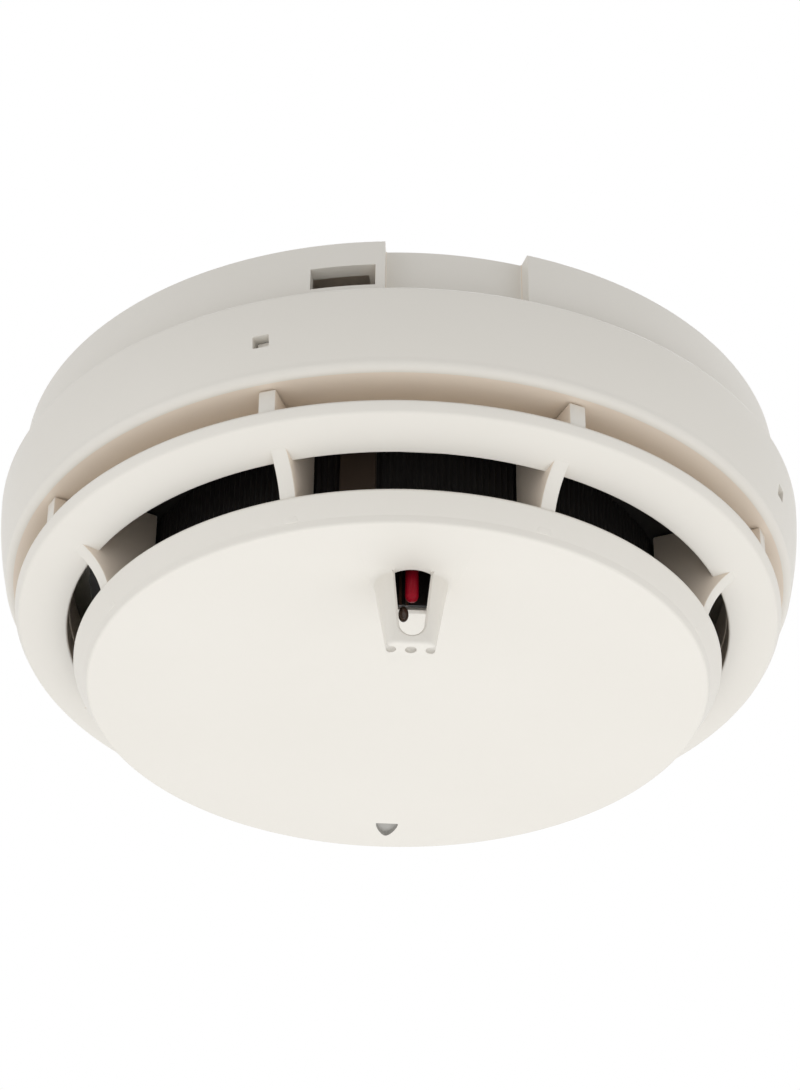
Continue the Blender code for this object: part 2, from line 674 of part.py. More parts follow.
# Outer housing of the head: the tapered band, its lip and the groove's flat roof and back wall
def build_housing(material):
    steps = 4
    top = BODY_TOP - EDGE_BREAK
    band_foot = LIP_FOOT + LIP_ROUND
    levels = [top + (band_foot - top) * k / steps for k in range(steps + 1)]
    outside = [(band_radius(level), level) for level in levels]
    lip_centre = (band_radius(band_foot) - LIP_ROUND, band_foot)
    lip = arc(lip_centre, LIP_ROUND, -20, -90, 3)
    back_foot = RING_TOP + GAP
    inside = [(band_radius(height) - BODY_WALL, height) for height in (ROOF_TOP, WINDOW_MIDDLE)]
    inside_top = band_radius(CHASSIS_FOOT) - BODY_WALL
    outline = [(BODY_RADIUS - EDGE_BREAK, BODY_TOP)]
    outline += outside + lip
    outline += [(GROOVE_BACK, LIP_FOOT), (GROOVE_BACK, back_foot), (BACK_WALL_BORE, back_foot)]
    outline += [(BACK_WALL_BORE, ROOF_TOP)] + inside
    outline += [(inside_top, CHASSIS_FOOT), (inside_top, BODY_TOP)]
    housing = turned("outer_housing", outline, PARTS)
    across = (-WINDOW_WIDTH / 2, WINDOW_WIDTH / 2)
    height = (WINDOW_MIDDLE - WINDOW_HEIGHT / 2, WINDOW_MIDDLE + WINDOW_HEIGHT / 2)
    windows = []
    for azimuth in WINDOW_AZIMUTHS:
        outward = (BODY_RADIUS - BODY_TAPER - BODY_WALL * 1.4, BODY_RADIUS + BODY_WALL)
        windows.append((azimuth, across, outward, height))
    cut(housing, blocks("snap_windows", windows))
    return finish(housing, material)


# Vented cover: ring, struts, fins, face disc and sensor cage in one moulding
def ring_face(radius):
    """The height of the ring's lower face, slightly crowned between shoulder and vent."""
    shoulder = RING_RADIUS - RING_SHOULDER_INSET
    share = (shoulder - radius) / (shoulder - VENT_RADIUS)
    start = RING_TOP - RING_SHOULDER_DROP
    return start + (VENT_TOP - start) * share - RING_CROWN * 4 * share * (1 - share)


def build_ring():
    shoulder = RING_RADIUS - RING_SHOULDER_INSET
    outline = [(RING_RADIUS - EDGE_BREAK, RING_TOP), (RING_RADIUS, RING_TOP - EDGE_BREAK)]
    outline.append((shoulder, RING_TOP - RING_SHOULDER_DROP))
    for share in (0.25, 0.5, 0.75, 1.0):
        radius = shoulder + (VENT_RADIUS - shoulder) * share
        outline.append((radius, ring_face(radius)))
    outline.append((VENT_RADIUS, RING_TOP))
    return turned("cover_ring", outline)


def build_disc():
    rim_inside = DISC_RADIUS - DISC_RIM
    face_centre = (FACE_RADIUS - FACE_ROUND, FACE + FACE_ROUND)
    outline = [(0.0, DISC_INSIDE), (rim_inside - EDGE_BREAK, DISC_INSIDE)]
    outline += [(rim_inside, DISC_INSIDE + EDGE_BREAK), (rim_inside, DISC_TOP)]
    outline += [(DISC_RADIUS - EDGE_BREAK, DISC_TOP), (DISC_RADIUS, DISC_TOP - EDGE_BREAK)]
    outline += arc(face_centre, FACE_ROUND, -10, -90, 4)
    outline.append((0.0, FACE))
    return turned("lower_cover", outline, PARTS, closed=False)


def rim_radius(height):
    """The disc's outer radius where its edge draws in towards the face."""
    start = DISC_TOP - EDGE_BREAK
    share = (start - height) / (start - FACE - FACE_ROUND)
    return DISC_RADIUS + (FACE_RADIUS - DISC_RADIUS) * share


def fin_outline():
    """A fin that stands from disc to carrier, with a hollow outer edge that runs out under the ring."""
    start = Vector((DISC_RADIUS - EDGE_BREAK * 1.2, DISC_TOP))
    tip_radius = VENT_RADIUS + GUSSET_REACH
    end = Vector((tip_radius, ring_face(tip_radius) + EDGE_BREAK))
    bend = Vector((VENT_RADIUS, VENT_TOP - VENT_HEIGHT / 5))
    edge = []
    for step in range(ARC_STEPS + 1):
        t = step / ARC_STEPS
        point = start * (1 - t) ** 2 + bend * 2 * t * (1 - t) + end * t * t
        edge.append((point.x, point.y))
    inside_top = RING_TOP - RING_HEIGHT / 3
    outline = [(FIN_INSIDE, DISC_INSIDE - DISC_SHEET / 2)]
    for height in (DISC_INSIDE - DISC_SHEET / 2, DISC_INSIDE + EDGE_BREAK):
        outline.append((rim_radius(height) - EDGE_BREAK / 2, height))
    outline.append((DISC_RADIUS - DISC_RIM / 2, DISC_TOP - EDGE_BREAK))
    upright = BACK_WALL_BORE - FIN_CLEARANCE
    fin_top = CARRIER_FOOT - GAP
    head = [(end.x, inside_top), (upright, inside_top), (upright, fin_top), (FIN_INSIDE, fin_top)]
    return outline + edge + head


def cage_section(height, inset):
    """A level section of the cage, drawn in towards the tip and set in by a given amount."""
    share = max(FACE - height, 0.0) / NOSE_HEIGHT
    drawn = NOSE_TAPER * share + inset
    return height, NOSE_WIDTH / 2 - drawn, NOSE_DEPTH / 2 - drawn, NOSE_CORNER - drawn


def cage_opening(top):
    """The outline of a cage window: round at the sill, with sides that spread towards its top."""
    corner = NOSE_WINDOW_BOTTOM / 2
    hub = NOSE_TIP + NOSE_RIM + corner
    flare = (NOSE_WINDOW_TOP / 2 - corner) / (DISC_INSIDE + GAP - hub)
    half = corner + flare * (top - hub)
    return [(-half, top), *arc((0.0, hub), corner, 180, 360, 8), (half, top)]


def build_cage(cover):
    """The sensor cage: a hollow tower with windows in front and behind, standing down from the face."""
    centre = (0.0, -NOSE_OFFSET)
    root = FACE + DISC_SHEET / 2
    tower = [cage_section(root, 0.0), cage_section(FACE, 0.0)]
    tower += [cage_section(NOSE_TIP + EDGE_BREAK, 0.0), cage_section(NOSE_TIP, EDGE_BREAK)]
    join(cover, lofted("cage_tower", tower, centre))
    above = DISC_INSIDE + GAP
    bore_foot = NOSE_TIP + NOSE_CAP
    bore = [cage_section(above, NOSE_WALL), cage_section(FACE, NOSE_WALL), cage_section(bore_foot, NOSE_WALL)]
    cut(cover, lofted("cage_bore", bore, centre))

    upright = Matrix(((1, 0, 0, 0), (0, 0, -1, -NOSE_OFFSET - NOSE_DEPTH / 2), (0, 1, 0, 0), (0, 0, 0, 1)))
    section = cage_section(FACE, -GAP / 2)[1:]
    reach = lofted("cage_window_reach", [(FACE - GAP / 3, *section), (NOSE_TIP, *section)], centre)
    # Through the face itself the window opens into a round hole.
    hole_radius = NOSE_DEPTH / 2 + GAP / 4
    middle = (*centre, 0.0)
    join(reach, rod("cage_hole", hole_radius, above + GAP, FACE - GAP, steps=SMALL_STEPS + 2, centre=middle))
    window = copies("cage_window", flat_outline(cage_opening(above), NOSE_DEPTH), [upright])
    combine(window, reach, "INTERSECT")
    cut(cover, window)

    # The back is open too, below the stalk, so that air flows past the bead.
    upright = Matrix(((1, 0, 0, 0), (0, 0, -1, -NOSE_OFFSET + NOSE_DEPTH / 2), (0, 1, 0, 0), (0, 0, 0, 1)))
    opening = cage_opening(FACE - STALK_DROP - GAP)
    cut(cover, copies("cage_back_window", flat_outline(opening, NOSE_DEPTH - GAP), [upright]))

    for index, side in enumerate((-1, 0, 1)):
        place = (side * DIMPLE_SPACING, -NOSE_OFFSET, 0.0)
        top = NOSE_TIP + DIMPLE_DEPTH
        cut(cover, rod(f"cage_dimple_{index}", DIMPLE_RADIUS, top, NOSE_TIP - GAP, centre=place))


def build_cover(material):
    cover = build_disc()
    join(cover, radial_webs("vent_fins", fin_outline(), FIN_WIDTH, STRUT_AZIMUTHS))
    join(cover, build_ring())

    inner = GROOVE_BACK + GAP
    outer = RING_RADIUS - STRUT_INSET
    strut_foot = RING_TOP - RING_HEIGHT / 3
    strut_top = LIP_FOOT - GAP
    strut = [(inner, strut_foot), (outer, strut_foot), (outer, strut_top), (inner, strut_top)]
    join(cover, radial_webs("groove_struts", strut, STRUT_WIDTH, STRUT_AZIMUTHS))

    face = BACK_WALL_BORE - GAP
    feet = []
    arms = []
    barbs = []
    for azimuth in HOOK_AZIMUTHS:
        across = (-HOOK_WIDTH / 2, HOOK_WIDTH / 2)
        barb_foot = ROOF_TOP + GAP
        barb_top = barb_foot + HOOK_BARB
        outer = math.sqrt(face ** 2 - (HOOK_WIDTH / 2) ** 2)
        seat = (-HOOK_WIDTH / 2 - EDGE_BREAK, HOOK_WIDTH / 2 + EDGE_BREAK)
        catch = (-HOOK_WIDTH / 2 + EDGE_BREAK, HOOK_WIDTH / 2 - EDGE_BREAK)
        foot = (outer - HOOK_SHEET - EDGE_BREAK, VENT_RADIUS + HOOK_FOOT)
        feet.append((azimuth, seat, foot, (RING_TOP - RING_HEIGHT * 0.4, RING_TOP - GAP)))
        arm_height = (RING_TOP - RING_HEIGHT / 3, barb_top + EDGE_BREAK)
        arms.append((azimuth, across, (outer - HOOK_SHEET, outer), arm_height))
        barbs.append((azimuth, catch, (outer - HOOK_SHEET / 2, outer + HOOK_BARB), (barb_foot, barb_top)))
    join(cover, blocks("cover_hook_feet", feet))
    join(cover, blocks("cover_hooks", arms))
    join(cover, blocks("cover_barbs", barbs))

    build_cage(cover)

    # The mark is a shield: each pair is a share of its half width and of its length.
    shield = [(1.0, 0.0), (0.9, 0.3), (0.68, 0.6), (0.4, 0.85), (0.12, 1.0)]
    shield += [(-across, along) for across, along in reversed(shield)]
    half = MARK_WIDTH / 2
    back = [(MARK_ASIDE + half * across, MARK_RADIUS + MARK_LENGTH * along) for across, along in shield]
    cut(cover, plan_prism("face_mark", back, FACE + MARK_DEPTH, FACE - MARK_DEPTH))
    return finish(cover, material)


# Circuit board with its parts, and its fixing screws
def build_board(board_material, chip_material, can_material, led_material, screw_material):
    board = rod("circuit_board", BOARD_RADIUS, BOARD_TOP, BOARD_FOOT, PARTS, ROUND_STEPS)
    for index, azimuth in enumerate(BOARD_SCREW_AZIMUTHS, start=1):
        centre = polar(azimuth, BOARD_SCREW_CIRCLE)
        hole = BOARD_SHANK + SCREW_GAP
        cut(board, rod(f"board_hole_{index}", hole, BOARD_TOP + GAP, BOARD_FOOT - GAP, centre=centre))
        head_top = BOARD_FOOT - GAP
        tip = CHASSIS_FOOT + CHASSIS_SHEET / 2 - SCREW_GAP
        foot = head_top - BOARD_HEAD_HEIGHT
        screw = turned(
            f"board_screw_{index}",
            [
                (0.0, tip),
                (BOARD_SHANK, tip),
                (BOARD_SHANK, head_top),
                (BOARD_HEAD, head_top),
                (BOARD_HEAD - EDGE_BREAK, foot),
                (0.0, foot),
            ],
            PARTS,
            closed=False,
            steps=TINY_STEPS,
            centre=centre,
        )
        finish(screw, screw_material)
    finish(board, board_material)

    side = CHIP_SIDE / 2
    chip_top = BOARD_FOOT - GAP
    across = (CHIP_PLACE[0] - side, CHIP_PLACE[0] + side)
    outward = (CHIP_PLACE[1] - side, CHIP_PLACE[1] + side)
    chip = blocks("microcontroller", [(0.0, across, outward, (chip_top - CHIP_HEIGHT, chip_top))], PARTS)
    soften(chip, PART_BEVEL)
    finish(chip, chip_material)

    can_foot = BOARD_TOP + GAP
    can_centre = (CAN_PLACE[0], -CAN_PLACE[1], 0.0)
    can_top = can_foot + BOARD_STANDOFF - GAP
    outline = [(0.0, can_top), (CAN_RADIUS - EDGE_BREAK, can_top), (CAN_RADIUS, can_top - EDGE_BREAK)]
    outline += [(CAN_RADIUS, can_foot), (0.0, can_foot)]
    can = turned("supply_capacitor", outline, PARTS, False, SMALL_STEPS, can_centre)
    finish(can, can_material)

    forward = NOSE_OFFSET + GUIDE_FORWARD
    led_top = BOARD_FOOT - GAP
    outward = (forward - LED_DEPTH / 2, forward + LED_DEPTH / 2)
    led_height = (led_top - LED_HEIGHT, led_top)
    led = blocks("indicator_led", [(0.0, (-LED_WIDTH / 2, LED_WIDTH / 2), outward, led_height)], PARTS)
    soften(led, PART_BEVEL)
    finish(led, led_material)


# Black carrier plate, insect screen and sensor stalk
def build_chamber(carrier_material, screen_material, stalk_material):
    rim_foot = CARRIER_FOOT - CARRIER_RIM_HEIGHT
    carrier = turned(
        "inner_carrier",
        [
            (0.0, CARRIER_TOP),
            (CARRIER_RADIUS, CARRIER_TOP),
            (CARRIER_RADIUS, CARRIER_FOOT),
            (RIM_OUTSIDE, CARRIER_FOOT),
            (RIM_OUTSIDE, rim_foot),
            (RIM_INSIDE, rim_foot),
            (RIM_INSIDE, CARRIER_FOOT),
            (0.0, CARRIER_FOOT),
        ],
        PARTS,
        closed=False,
    )
    for index, azimuth in enumerate(BOARD_SCREW_AZIMUTHS):
        centre = polar(azimuth + math.pi / 3, BOARD_SCREW_CIRCLE)
        post_ends = (BOARD_FOOT - GAP, CARRIER_FOOT + CARRIER_SHEET / 2)
        join(carrier, rod(f"carrier_post_{index}", CARRIER_POST_RADIUS, *post_ends, centre=centre))
    nose = (0.0, -NOSE_OFFSET, 0.0)
    hole_ends = (CARRIER_TOP + GAP, CARRIER_FOOT - GAP)
    cut(carrier, rod("stalk_hole", STALK_RADIUS + GAP, *hole_ends, steps=SMALL_STEPS, centre=nose))
    finish(carrier, carrier_material)

    screen_top = CARRIER_FOOT - GAP
    screen_foot = DISC_INSIDE + GAP
    count = SCREEN_RIBS * 2
    ribs = []
    for k in range(count):
        point = polar(2 * math.pi * k / count, SCREEN_RADIUS - SCREEN_RIB_DEPTH * (k % 2))
        ribs.append((point.x, point.y))
    screen = plan_prism("insect_screen", ribs, screen_top, screen_foot, PARTS)
    half = PILLAR_WIDTH / 2
    outward = (SCREEN_RADIUS - SCREEN_WALL / 2, SCREEN_RADIUS + PILLAR_REACH)
    pillar = (PILLAR_AZIMUTH, (-half, half), outward, (screen_foot + GAP / 2, screen_top - GAP / 2))
    join(screen, blocks("screen_pillar", [pillar]))
    cut(screen, rod("screen_bore", SCREEN_BORE, screen_top + GAP, screen_foot - GAP, steps=ROUND_STEPS))
    finish(screen, screen_material)

    stalk_top = CARRIER_TOP
    flange_top = CARRIER_FOOT - GAP
    flange = STALK_RADIUS + STALK_FLANGE
    stalk = turned(
        "sensor_stalk",
        [
            (0.0, stalk_top),
            (STALK_RADIUS, stalk_top),
            (STALK_RADIUS, flange_top),
            (flange, flange_top),
            (flange, flange_top - STALK_FLANGE_SHEET),
            (STALK_RADIUS, flange_top - STALK_FLANGE_SHEET),
            (STALK_RADIUS, screen_foot),
            (0.0, screen_foot),
        ],
        PARTS,
        closed=False,
        steps=SMALL_STEPS,
        centre=nose,
    )
    # A neck runs on into the cage as a shield, hollow and open to the cage's window.
    middle = (0.0, -NOSE_OFFSET)
    neck_foot = FACE - STALK_DROP
    skin = NOSE_WALL + GAP
    neck = [cage_section(height, skin) for height in (screen_foot + STALK_HOLLOW / 2, FACE, neck_foot)]
    join(stalk, lofted("stalk_neck", neck, middle))
    skin += STALK_SKIN
    hollow = [cage_section(height, skin) for height in (screen_foot + STALK_HOLLOW, FACE, neck_foot - GAP)]
    cut(stalk, lofted("stalk_hollow", hollow, middle))
    half = NOSE_WINDOW_TOP / 2
    outward = (NOSE_OFFSET, NOSE_OFFSET + NOSE_DEPTH)
    opening = (0.0, (-half, half), outward, (neck_foot - GAP, FACE + DISC_SHEET / 2))
    cut(stalk, blocks("stalk_opening", [opening]))
    above = stalk_top + GAP
    below = screen_foot + STALK_HOLLOW / 2
    guide = (0.0, -NOSE_OFFSET - GUIDE_FORWARD, 0.0)
    cut(stalk, rod("guide_bore", GUIDE_RADIUS + GAP, above, neck_foot - GAP, centre=guide))
    for index, centre in enumerate(lead_places()):
        cut(stalk, rod(f"lead_bore_{index}", LEAD_RADIUS + LEAD_GAP, above, below, steps=8, centre=centre))
    finish(stalk, stalk_material)


# Light guide, thermistor bead and its two leads
def lead_places():
    y = -NOSE_OFFSET + BEAD_BACK
    return [(BEAD_ASIDE + side * LEAD_SPACING / 2, y, 0.0) for side in (-1, 1)]


def build_sensor(guide_material, bead_material, lead_material):
    top = BOARD_FOOT - GAP - LED_HEIGHT - GAP
    foot = FACE - GUIDE_DROP
    dome = arc((0.0, foot + GUIDE_RADIUS), GUIDE_RADIUS, 0, -90, 4)
    guide = turned(
        "light_guide",
        [(0.0, top), (GUIDE_RADIUS, top), *dome[:-1], (0.0, foot)],
        PARTS,
        closed=False,
        steps=TINY_STEPS,
        centre=(0.0, -NOSE_OFFSET - GUIDE_FORWARD, 0.0),
    )
    finish(guide, guide_material)

    bead_foot = FACE - BEAD_DROP
    bead_middle = bead_foot + BEAD_LENGTH / 2
    shape = bmesh.new()
    bmesh.ops.create_uvsphere(shape, u_segments=TINY_STEPS, v_segments=10, radius=1.0)
    size = Matrix.Diagonal((BEAD_RADIUS, BEAD_RADIUS, BEAD_LENGTH / 2, 1.0))
    place = Matrix.Translation((BEAD_ASIDE, -NOSE_OFFSET + BEAD_BACK, bead_middle))
    bmesh.ops.transform(shape, matrix=place @ size, verts=shape.verts)
    mesh = bpy.data.meshes.new("thermistor_bead")
    shape.to_mesh(mesh)
    shape.free()
    finish(place_in(bpy.data.objects.new("thermistor_bead", mesh), PARTS), bead_material)

    lead_foot = bead_middle + BEAD_LENGTH / 2 + GAP / 3
    for index, centre in enumerate(lead_places(), start=1):
        lead = rod(f"thermistor_lead_{index}", LEAD_RADIUS, BOARD_FOOT - GAP, lead_foot, PARTS, 8, centre)
        finish(lead, lead_material)


def main():
    clear_scene()
    add_collection(PARTS)
    helpers = add_collection(HELPERS)
    helpers.hide_render = True
    white = make_material("white_plastic", (0.83, 0.81, 0.77), 0.45)
    grey = make_material("base_plastic", (0.80, 0.78, 0.74), 0.5)
    black = make_material("black_plastic", (0.02, 0.02, 0.02), 0.5)
    brass = make_material("spring_bronze", (0.72, 0.5, 0.25), 0.35, 1.0)
    steel = make_material("plated_steel", (0.62, 0.62, 0.6), 0.35, 1.0)
    green = make_material("board_green", (0.03, 0.22, 0.08), 0.4)
    red = make_material("red_guide", (0.45, 0.01, 0.02), 0.15)
    clear = make_material("led_lens", (0.8, 0.75, 0.65), 0.2)
    bead = make_material("bead_resin", (0.05, 0.03, 0.02), 0.3)
    build_base(grey)
    build_terminals(brass, steel, steel)
    build_chassis(white)
    build_blades(brass)
    build_housing(white)
    build_cover(white)
    build_board(green, black, steel, clear, steel)
    build_chamber(black, black, black)
    build_sensor(red, bead, steel)


main()
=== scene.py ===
import math
import bmesh
import bpy
import numpy as np
from mathutils import Matrix


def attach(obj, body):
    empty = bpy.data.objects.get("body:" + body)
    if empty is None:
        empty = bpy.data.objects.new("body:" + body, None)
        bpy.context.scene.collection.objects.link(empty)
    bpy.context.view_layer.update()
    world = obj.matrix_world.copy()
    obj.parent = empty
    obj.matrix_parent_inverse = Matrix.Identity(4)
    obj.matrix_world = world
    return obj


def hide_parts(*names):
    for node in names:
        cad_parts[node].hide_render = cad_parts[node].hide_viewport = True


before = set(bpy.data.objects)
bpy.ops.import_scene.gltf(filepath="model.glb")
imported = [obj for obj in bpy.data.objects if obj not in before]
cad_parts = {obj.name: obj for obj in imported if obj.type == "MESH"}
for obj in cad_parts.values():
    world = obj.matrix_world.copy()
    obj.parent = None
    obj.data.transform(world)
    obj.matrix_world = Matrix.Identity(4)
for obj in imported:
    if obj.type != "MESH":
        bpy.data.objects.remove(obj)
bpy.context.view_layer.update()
mm = 0.001
scene = bpy.context.scene
scene.view_settings.view_transform = "Standard"
print("frame loaded:", len(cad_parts), "nodes")


# shared values and shape helpers, with all lengths in millimetres until meshObject
gap = 0.3  # clearance between pieces
spare = 2.0  # how far a cutter reaches past the faces that it opens


# points in mm become a mesh in metres, with doubles merged and normals pointing out
def meshObject(name, points, faces):
    mesh = bpy.data.meshes.new(name)
    mesh.from_pydata((np.asarray(points, float) * mm).tolist(), [], faces)
    work = bmesh.new()
    work.from_mesh(mesh)
    bmesh.ops.remove_doubles(work, verts=work.verts, dist=1e-7)
    bmesh.ops.recalc_face_normals(work, faces=work.faces)
    work.to_mesh(mesh)
    work.free()
    obj = bpy.data.objects.new(name, mesh)
    scene.collection.objects.link(obj)
    return obj


# rounded path: an inner corner (radius, height, round) turns into an arc tangent to both of its sides
def roundedPath(corners, steps=6):
    spots = np.array([corner[:2] for corner in corners], float)
    runs = []
    for k, corner in enumerate(corners):
        if len(corner) < 3:
            runs.append(spots[k][None])
            continue
        size = corner[2]
        back = spots[k - 1] - spots[k]
        ahead = spots[k + 1] - spots[k]
        back /= np.linalg.norm(back)
        ahead /= np.linalg.norm(ahead)
        half = math.acos(np.clip(back @ ahead, -1, 1)) / 2
        middle = back + ahead
        hub = spots[k] + middle / np.linalg.norm(middle) * size / math.sin(half)
        first = spots[k] + back * size / math.tan(half) - hub
        final = spots[k] + ahead * size / math.tan(half) - hub
        start = math.atan2(first[1], first[0])
        sweep = math.atan2(final[1], final[0]) - start
        sweep = (sweep + math.pi) % (2 * math.pi) - math.pi
        turn = start + sweep * np.linspace(0, 1, steps + 1)
        runs.append(hub + size * np.stack([np.cos(turn), np.sin(turn)], 1))
    return np.concatenate(runs)


# turned surface: point (i, j) is the profile's radius j swung to azimuth i, at the profile's height j
def turned(name, path, segments=256, closed=True, centre=(0.0, 0.0)):
    path = np.asarray(path, float)
    count = len(path)
    swing = np.linspace(0, 2 * np.pi, segments, endpoint=False)
    around = np.stack([np.sin(swing), -np.cos(swing)], 1)
    points = np.empty((segments, count, 3))
    points[..., :2] = around[:, None] * path[None, :, :1] + np.array(centre)
    points[..., 2] = path[None, :, 1]
    i = np.arange(segments)[:, None]
    j = np.arange(count if closed else count - 1)[None]
    iNext = (i + 1) % segments
    jNext = (j + 1) % count
    quads = np.stack([i * count + j, i * count + jNext, iNext * count + jNext, iNext * count + j], -1)
    return meshObject(name, points.reshape(-1, 3), quads.reshape(-1, 4).tolist())


# swing (across, outward, height) to an azimuth from the front, which is at -Y
def atAzimuth(points, azimuth):
    points = np.asarray(points, float)
    turn = math.radians(azimuth)
    across, outward = points[:, 0], points[:, 1]
    x = across * math.cos(turn) + outward * math.sin(turn)
    y = across * math.sin(turn) - outward * math.cos(turn)
    return np.stack([x, y, points[:, 2]], 1)


# prism: an outline (u, v) carried straight along w from low to high; order says which axis u, v and w are
def prism(name, outline, low, high, order, azimuth=0.0):
    flat = np.asarray(outline, float)
    count = len(flat)
    layers = np.concatenate([np.c_[flat, np.full(count, low)], np.c_[flat, np.full(count, high)]])
    points = np.empty_like(layers)
    points[:, list(order)] = layers
    points = atAzimuth(points, azimuth)
    k = np.arange(count)
    after = (k + 1) % count
    sides = np.stack([k, after, after + count, k + count], 1).tolist()
    return meshObject(name, points, sides + [k.tolist(), (k + count).tolist()])


def boxPrism(name, across, outward, height, azimuth):
    (a, b), (c, d) = across, height
    return prism(name, [(a, c), (b, c), (b, d), (a, d)], outward[0], outward[1], (0, 2, 1), azimuth)


# ring sector: arcs at two radii between two azimuths, as a plan outline (x, y)
def sector(inner, outer, start, end, steps=40):
    turn = np.radians(np.linspace(start, end, steps + 1))
    arc = np.stack([np.sin(turn), -np.cos(turn)], 1)
    return np.concatenate([arc * outer, arc[::-1] * inner])


def planPrism(name, outline, low, high):  # outline (x, y) between two heights
    flat = np.asarray(outline, float) * np.array([1.0, -1.0])
    return prism(name, flat, low, high, (0, 1, 2))


# lofted tower: each level section (height, half width, half depth, corner) is a rounded rectangle
def lofted(name, sections, centre, steps=10):
    turn = np.radians(np.linspace(0, 90, steps + 1))
    rings = []
    for height, across, deep, corner in sections:
        for k, (x, y) in enumerate(((1, 1), (-1, 1), (-1, -1), (1, -1))):
            hub = np.array([centre[0] + x * (across - corner), centre[1] + y * (deep - corner), height])
            angle = turn + k * np.pi / 2
            rings.append(hub + corner * np.stack([np.cos(angle), np.sin(angle), angle * 0], 1))
    return stacked(name, np.concatenate(rings), len(sections))


# stacked rings: equal rings of points joined one to the next, with both end rings closed
def stacked(name, points, levels):
    count = len(points) // levels
    k = np.arange(count)
    after = (k + 1) % count
    first = np.arange(levels - 1)[:, None] * count
    sides = np.stack([first + k, first + after, first + count + after, first + count + k], -1)
    ends = [k.tolist(), (k + (levels - 1) * count).tolist()]
    return meshObject(name, points, sides.reshape(-1, 4).tolist() + ends)


def settle(obj):  # modifiers become the object's own mesh
    graph = bpy.context.evaluated_depsgraph_get()
    result = bpy.data.meshes.new_from_object(obj.evaluated_get(graph))
    old = obj.data
    obj.modifiers.clear()
    obj.data = result
    bpy.data.meshes.remove(old)
    return obj


def carve(obj, others, operation="DIFFERENCE"):
    for other in others:
        step = obj.modifiers.new(other.name, "BOOLEAN")
        step.operation = operation
        step.solver = "EXACT"
        step.object = other
    settle(obj)
    for other in others:
        bpy.data.objects.remove(other, do_unlink=True)
    return obj


def easeEdges(obj, width):
    bevel = obj.modifiers.new("ease", "BEVEL")
    bevel.width = width * mm
    bevel.segments = 2
    bevel.limit_method = "ANGLE"
    bevel.angle_limit = math.radians(40)
    return settle(obj)


def gather(name, objs):  # several closed shells become one object
    work = bmesh.new()
    for obj in objs:
        work.from_mesh(obj.data)
        bpy.data.objects.remove(obj, do_unlink=True)
    mesh = bpy.data.meshes.new(name)
    work.to_mesh(mesh)
    work.free()
    obj = bpy.data.objects.new(name, mesh)
    scene.collection.objects.link(obj)
    return obj


def smoothBy(obj, angle):
    mesh = obj.data
    mesh.polygons.foreach_set("use_smooth", np.ones(len(mesh.polygons), bool))
    mesh.set_sharp_from_angle(angle=math.radians(angle))
    return obj


# rows x, y and z over all faces, of their centers in millimetres or of their normals
def faceValues(obj, name):
    values = np.empty(len(obj.data.polygons) * 3)
    obj.data.polygons.foreach_get(name, values)
    return (values.reshape(-1, 3) / (mm if name == "center" else 1.0)).T


def markFaces(obj, layerName, amount):
    layer = obj.data.attributes.new(layerName, "FLOAT", "FACE")
    layer.data.foreach_set("value", np.asarray(amount, np.float32))
    return obj


# node groups and materials

def nodeIn(tree, kind, at=(0, 0), **values):
    node = tree.nodes.new(kind)
    node.location = at
    for key, value in values.items():
        setattr(node, key, value)
    return node


def link(tree, source, output, target, entry):
    tree.links.new(source.outputs[output], target.inputs[entry])


# group with the given inputs and the three outputs that every finish puts out
def finishGroup(name, inputs):
    group = bpy.data.node_groups.new(name, "ShaderNodeTree")
    outputs = {"Colour": "NodeSocketColor", "Roughness": "NodeSocketFloat", "Height": "NodeSocketFloat"}
    for label, start in inputs.items():
        kind = "NodeSocketColor" if isinstance(start, tuple) else "NodeSocketFloat"
        socket = group.interface.new_socket(label, in_out="INPUT", socket_type=kind)
        socket.default_value = start
    for label, kind in outputs.items():
        group.interface.new_socket(label, in_out="OUTPUT", socket_type=kind)
    return group


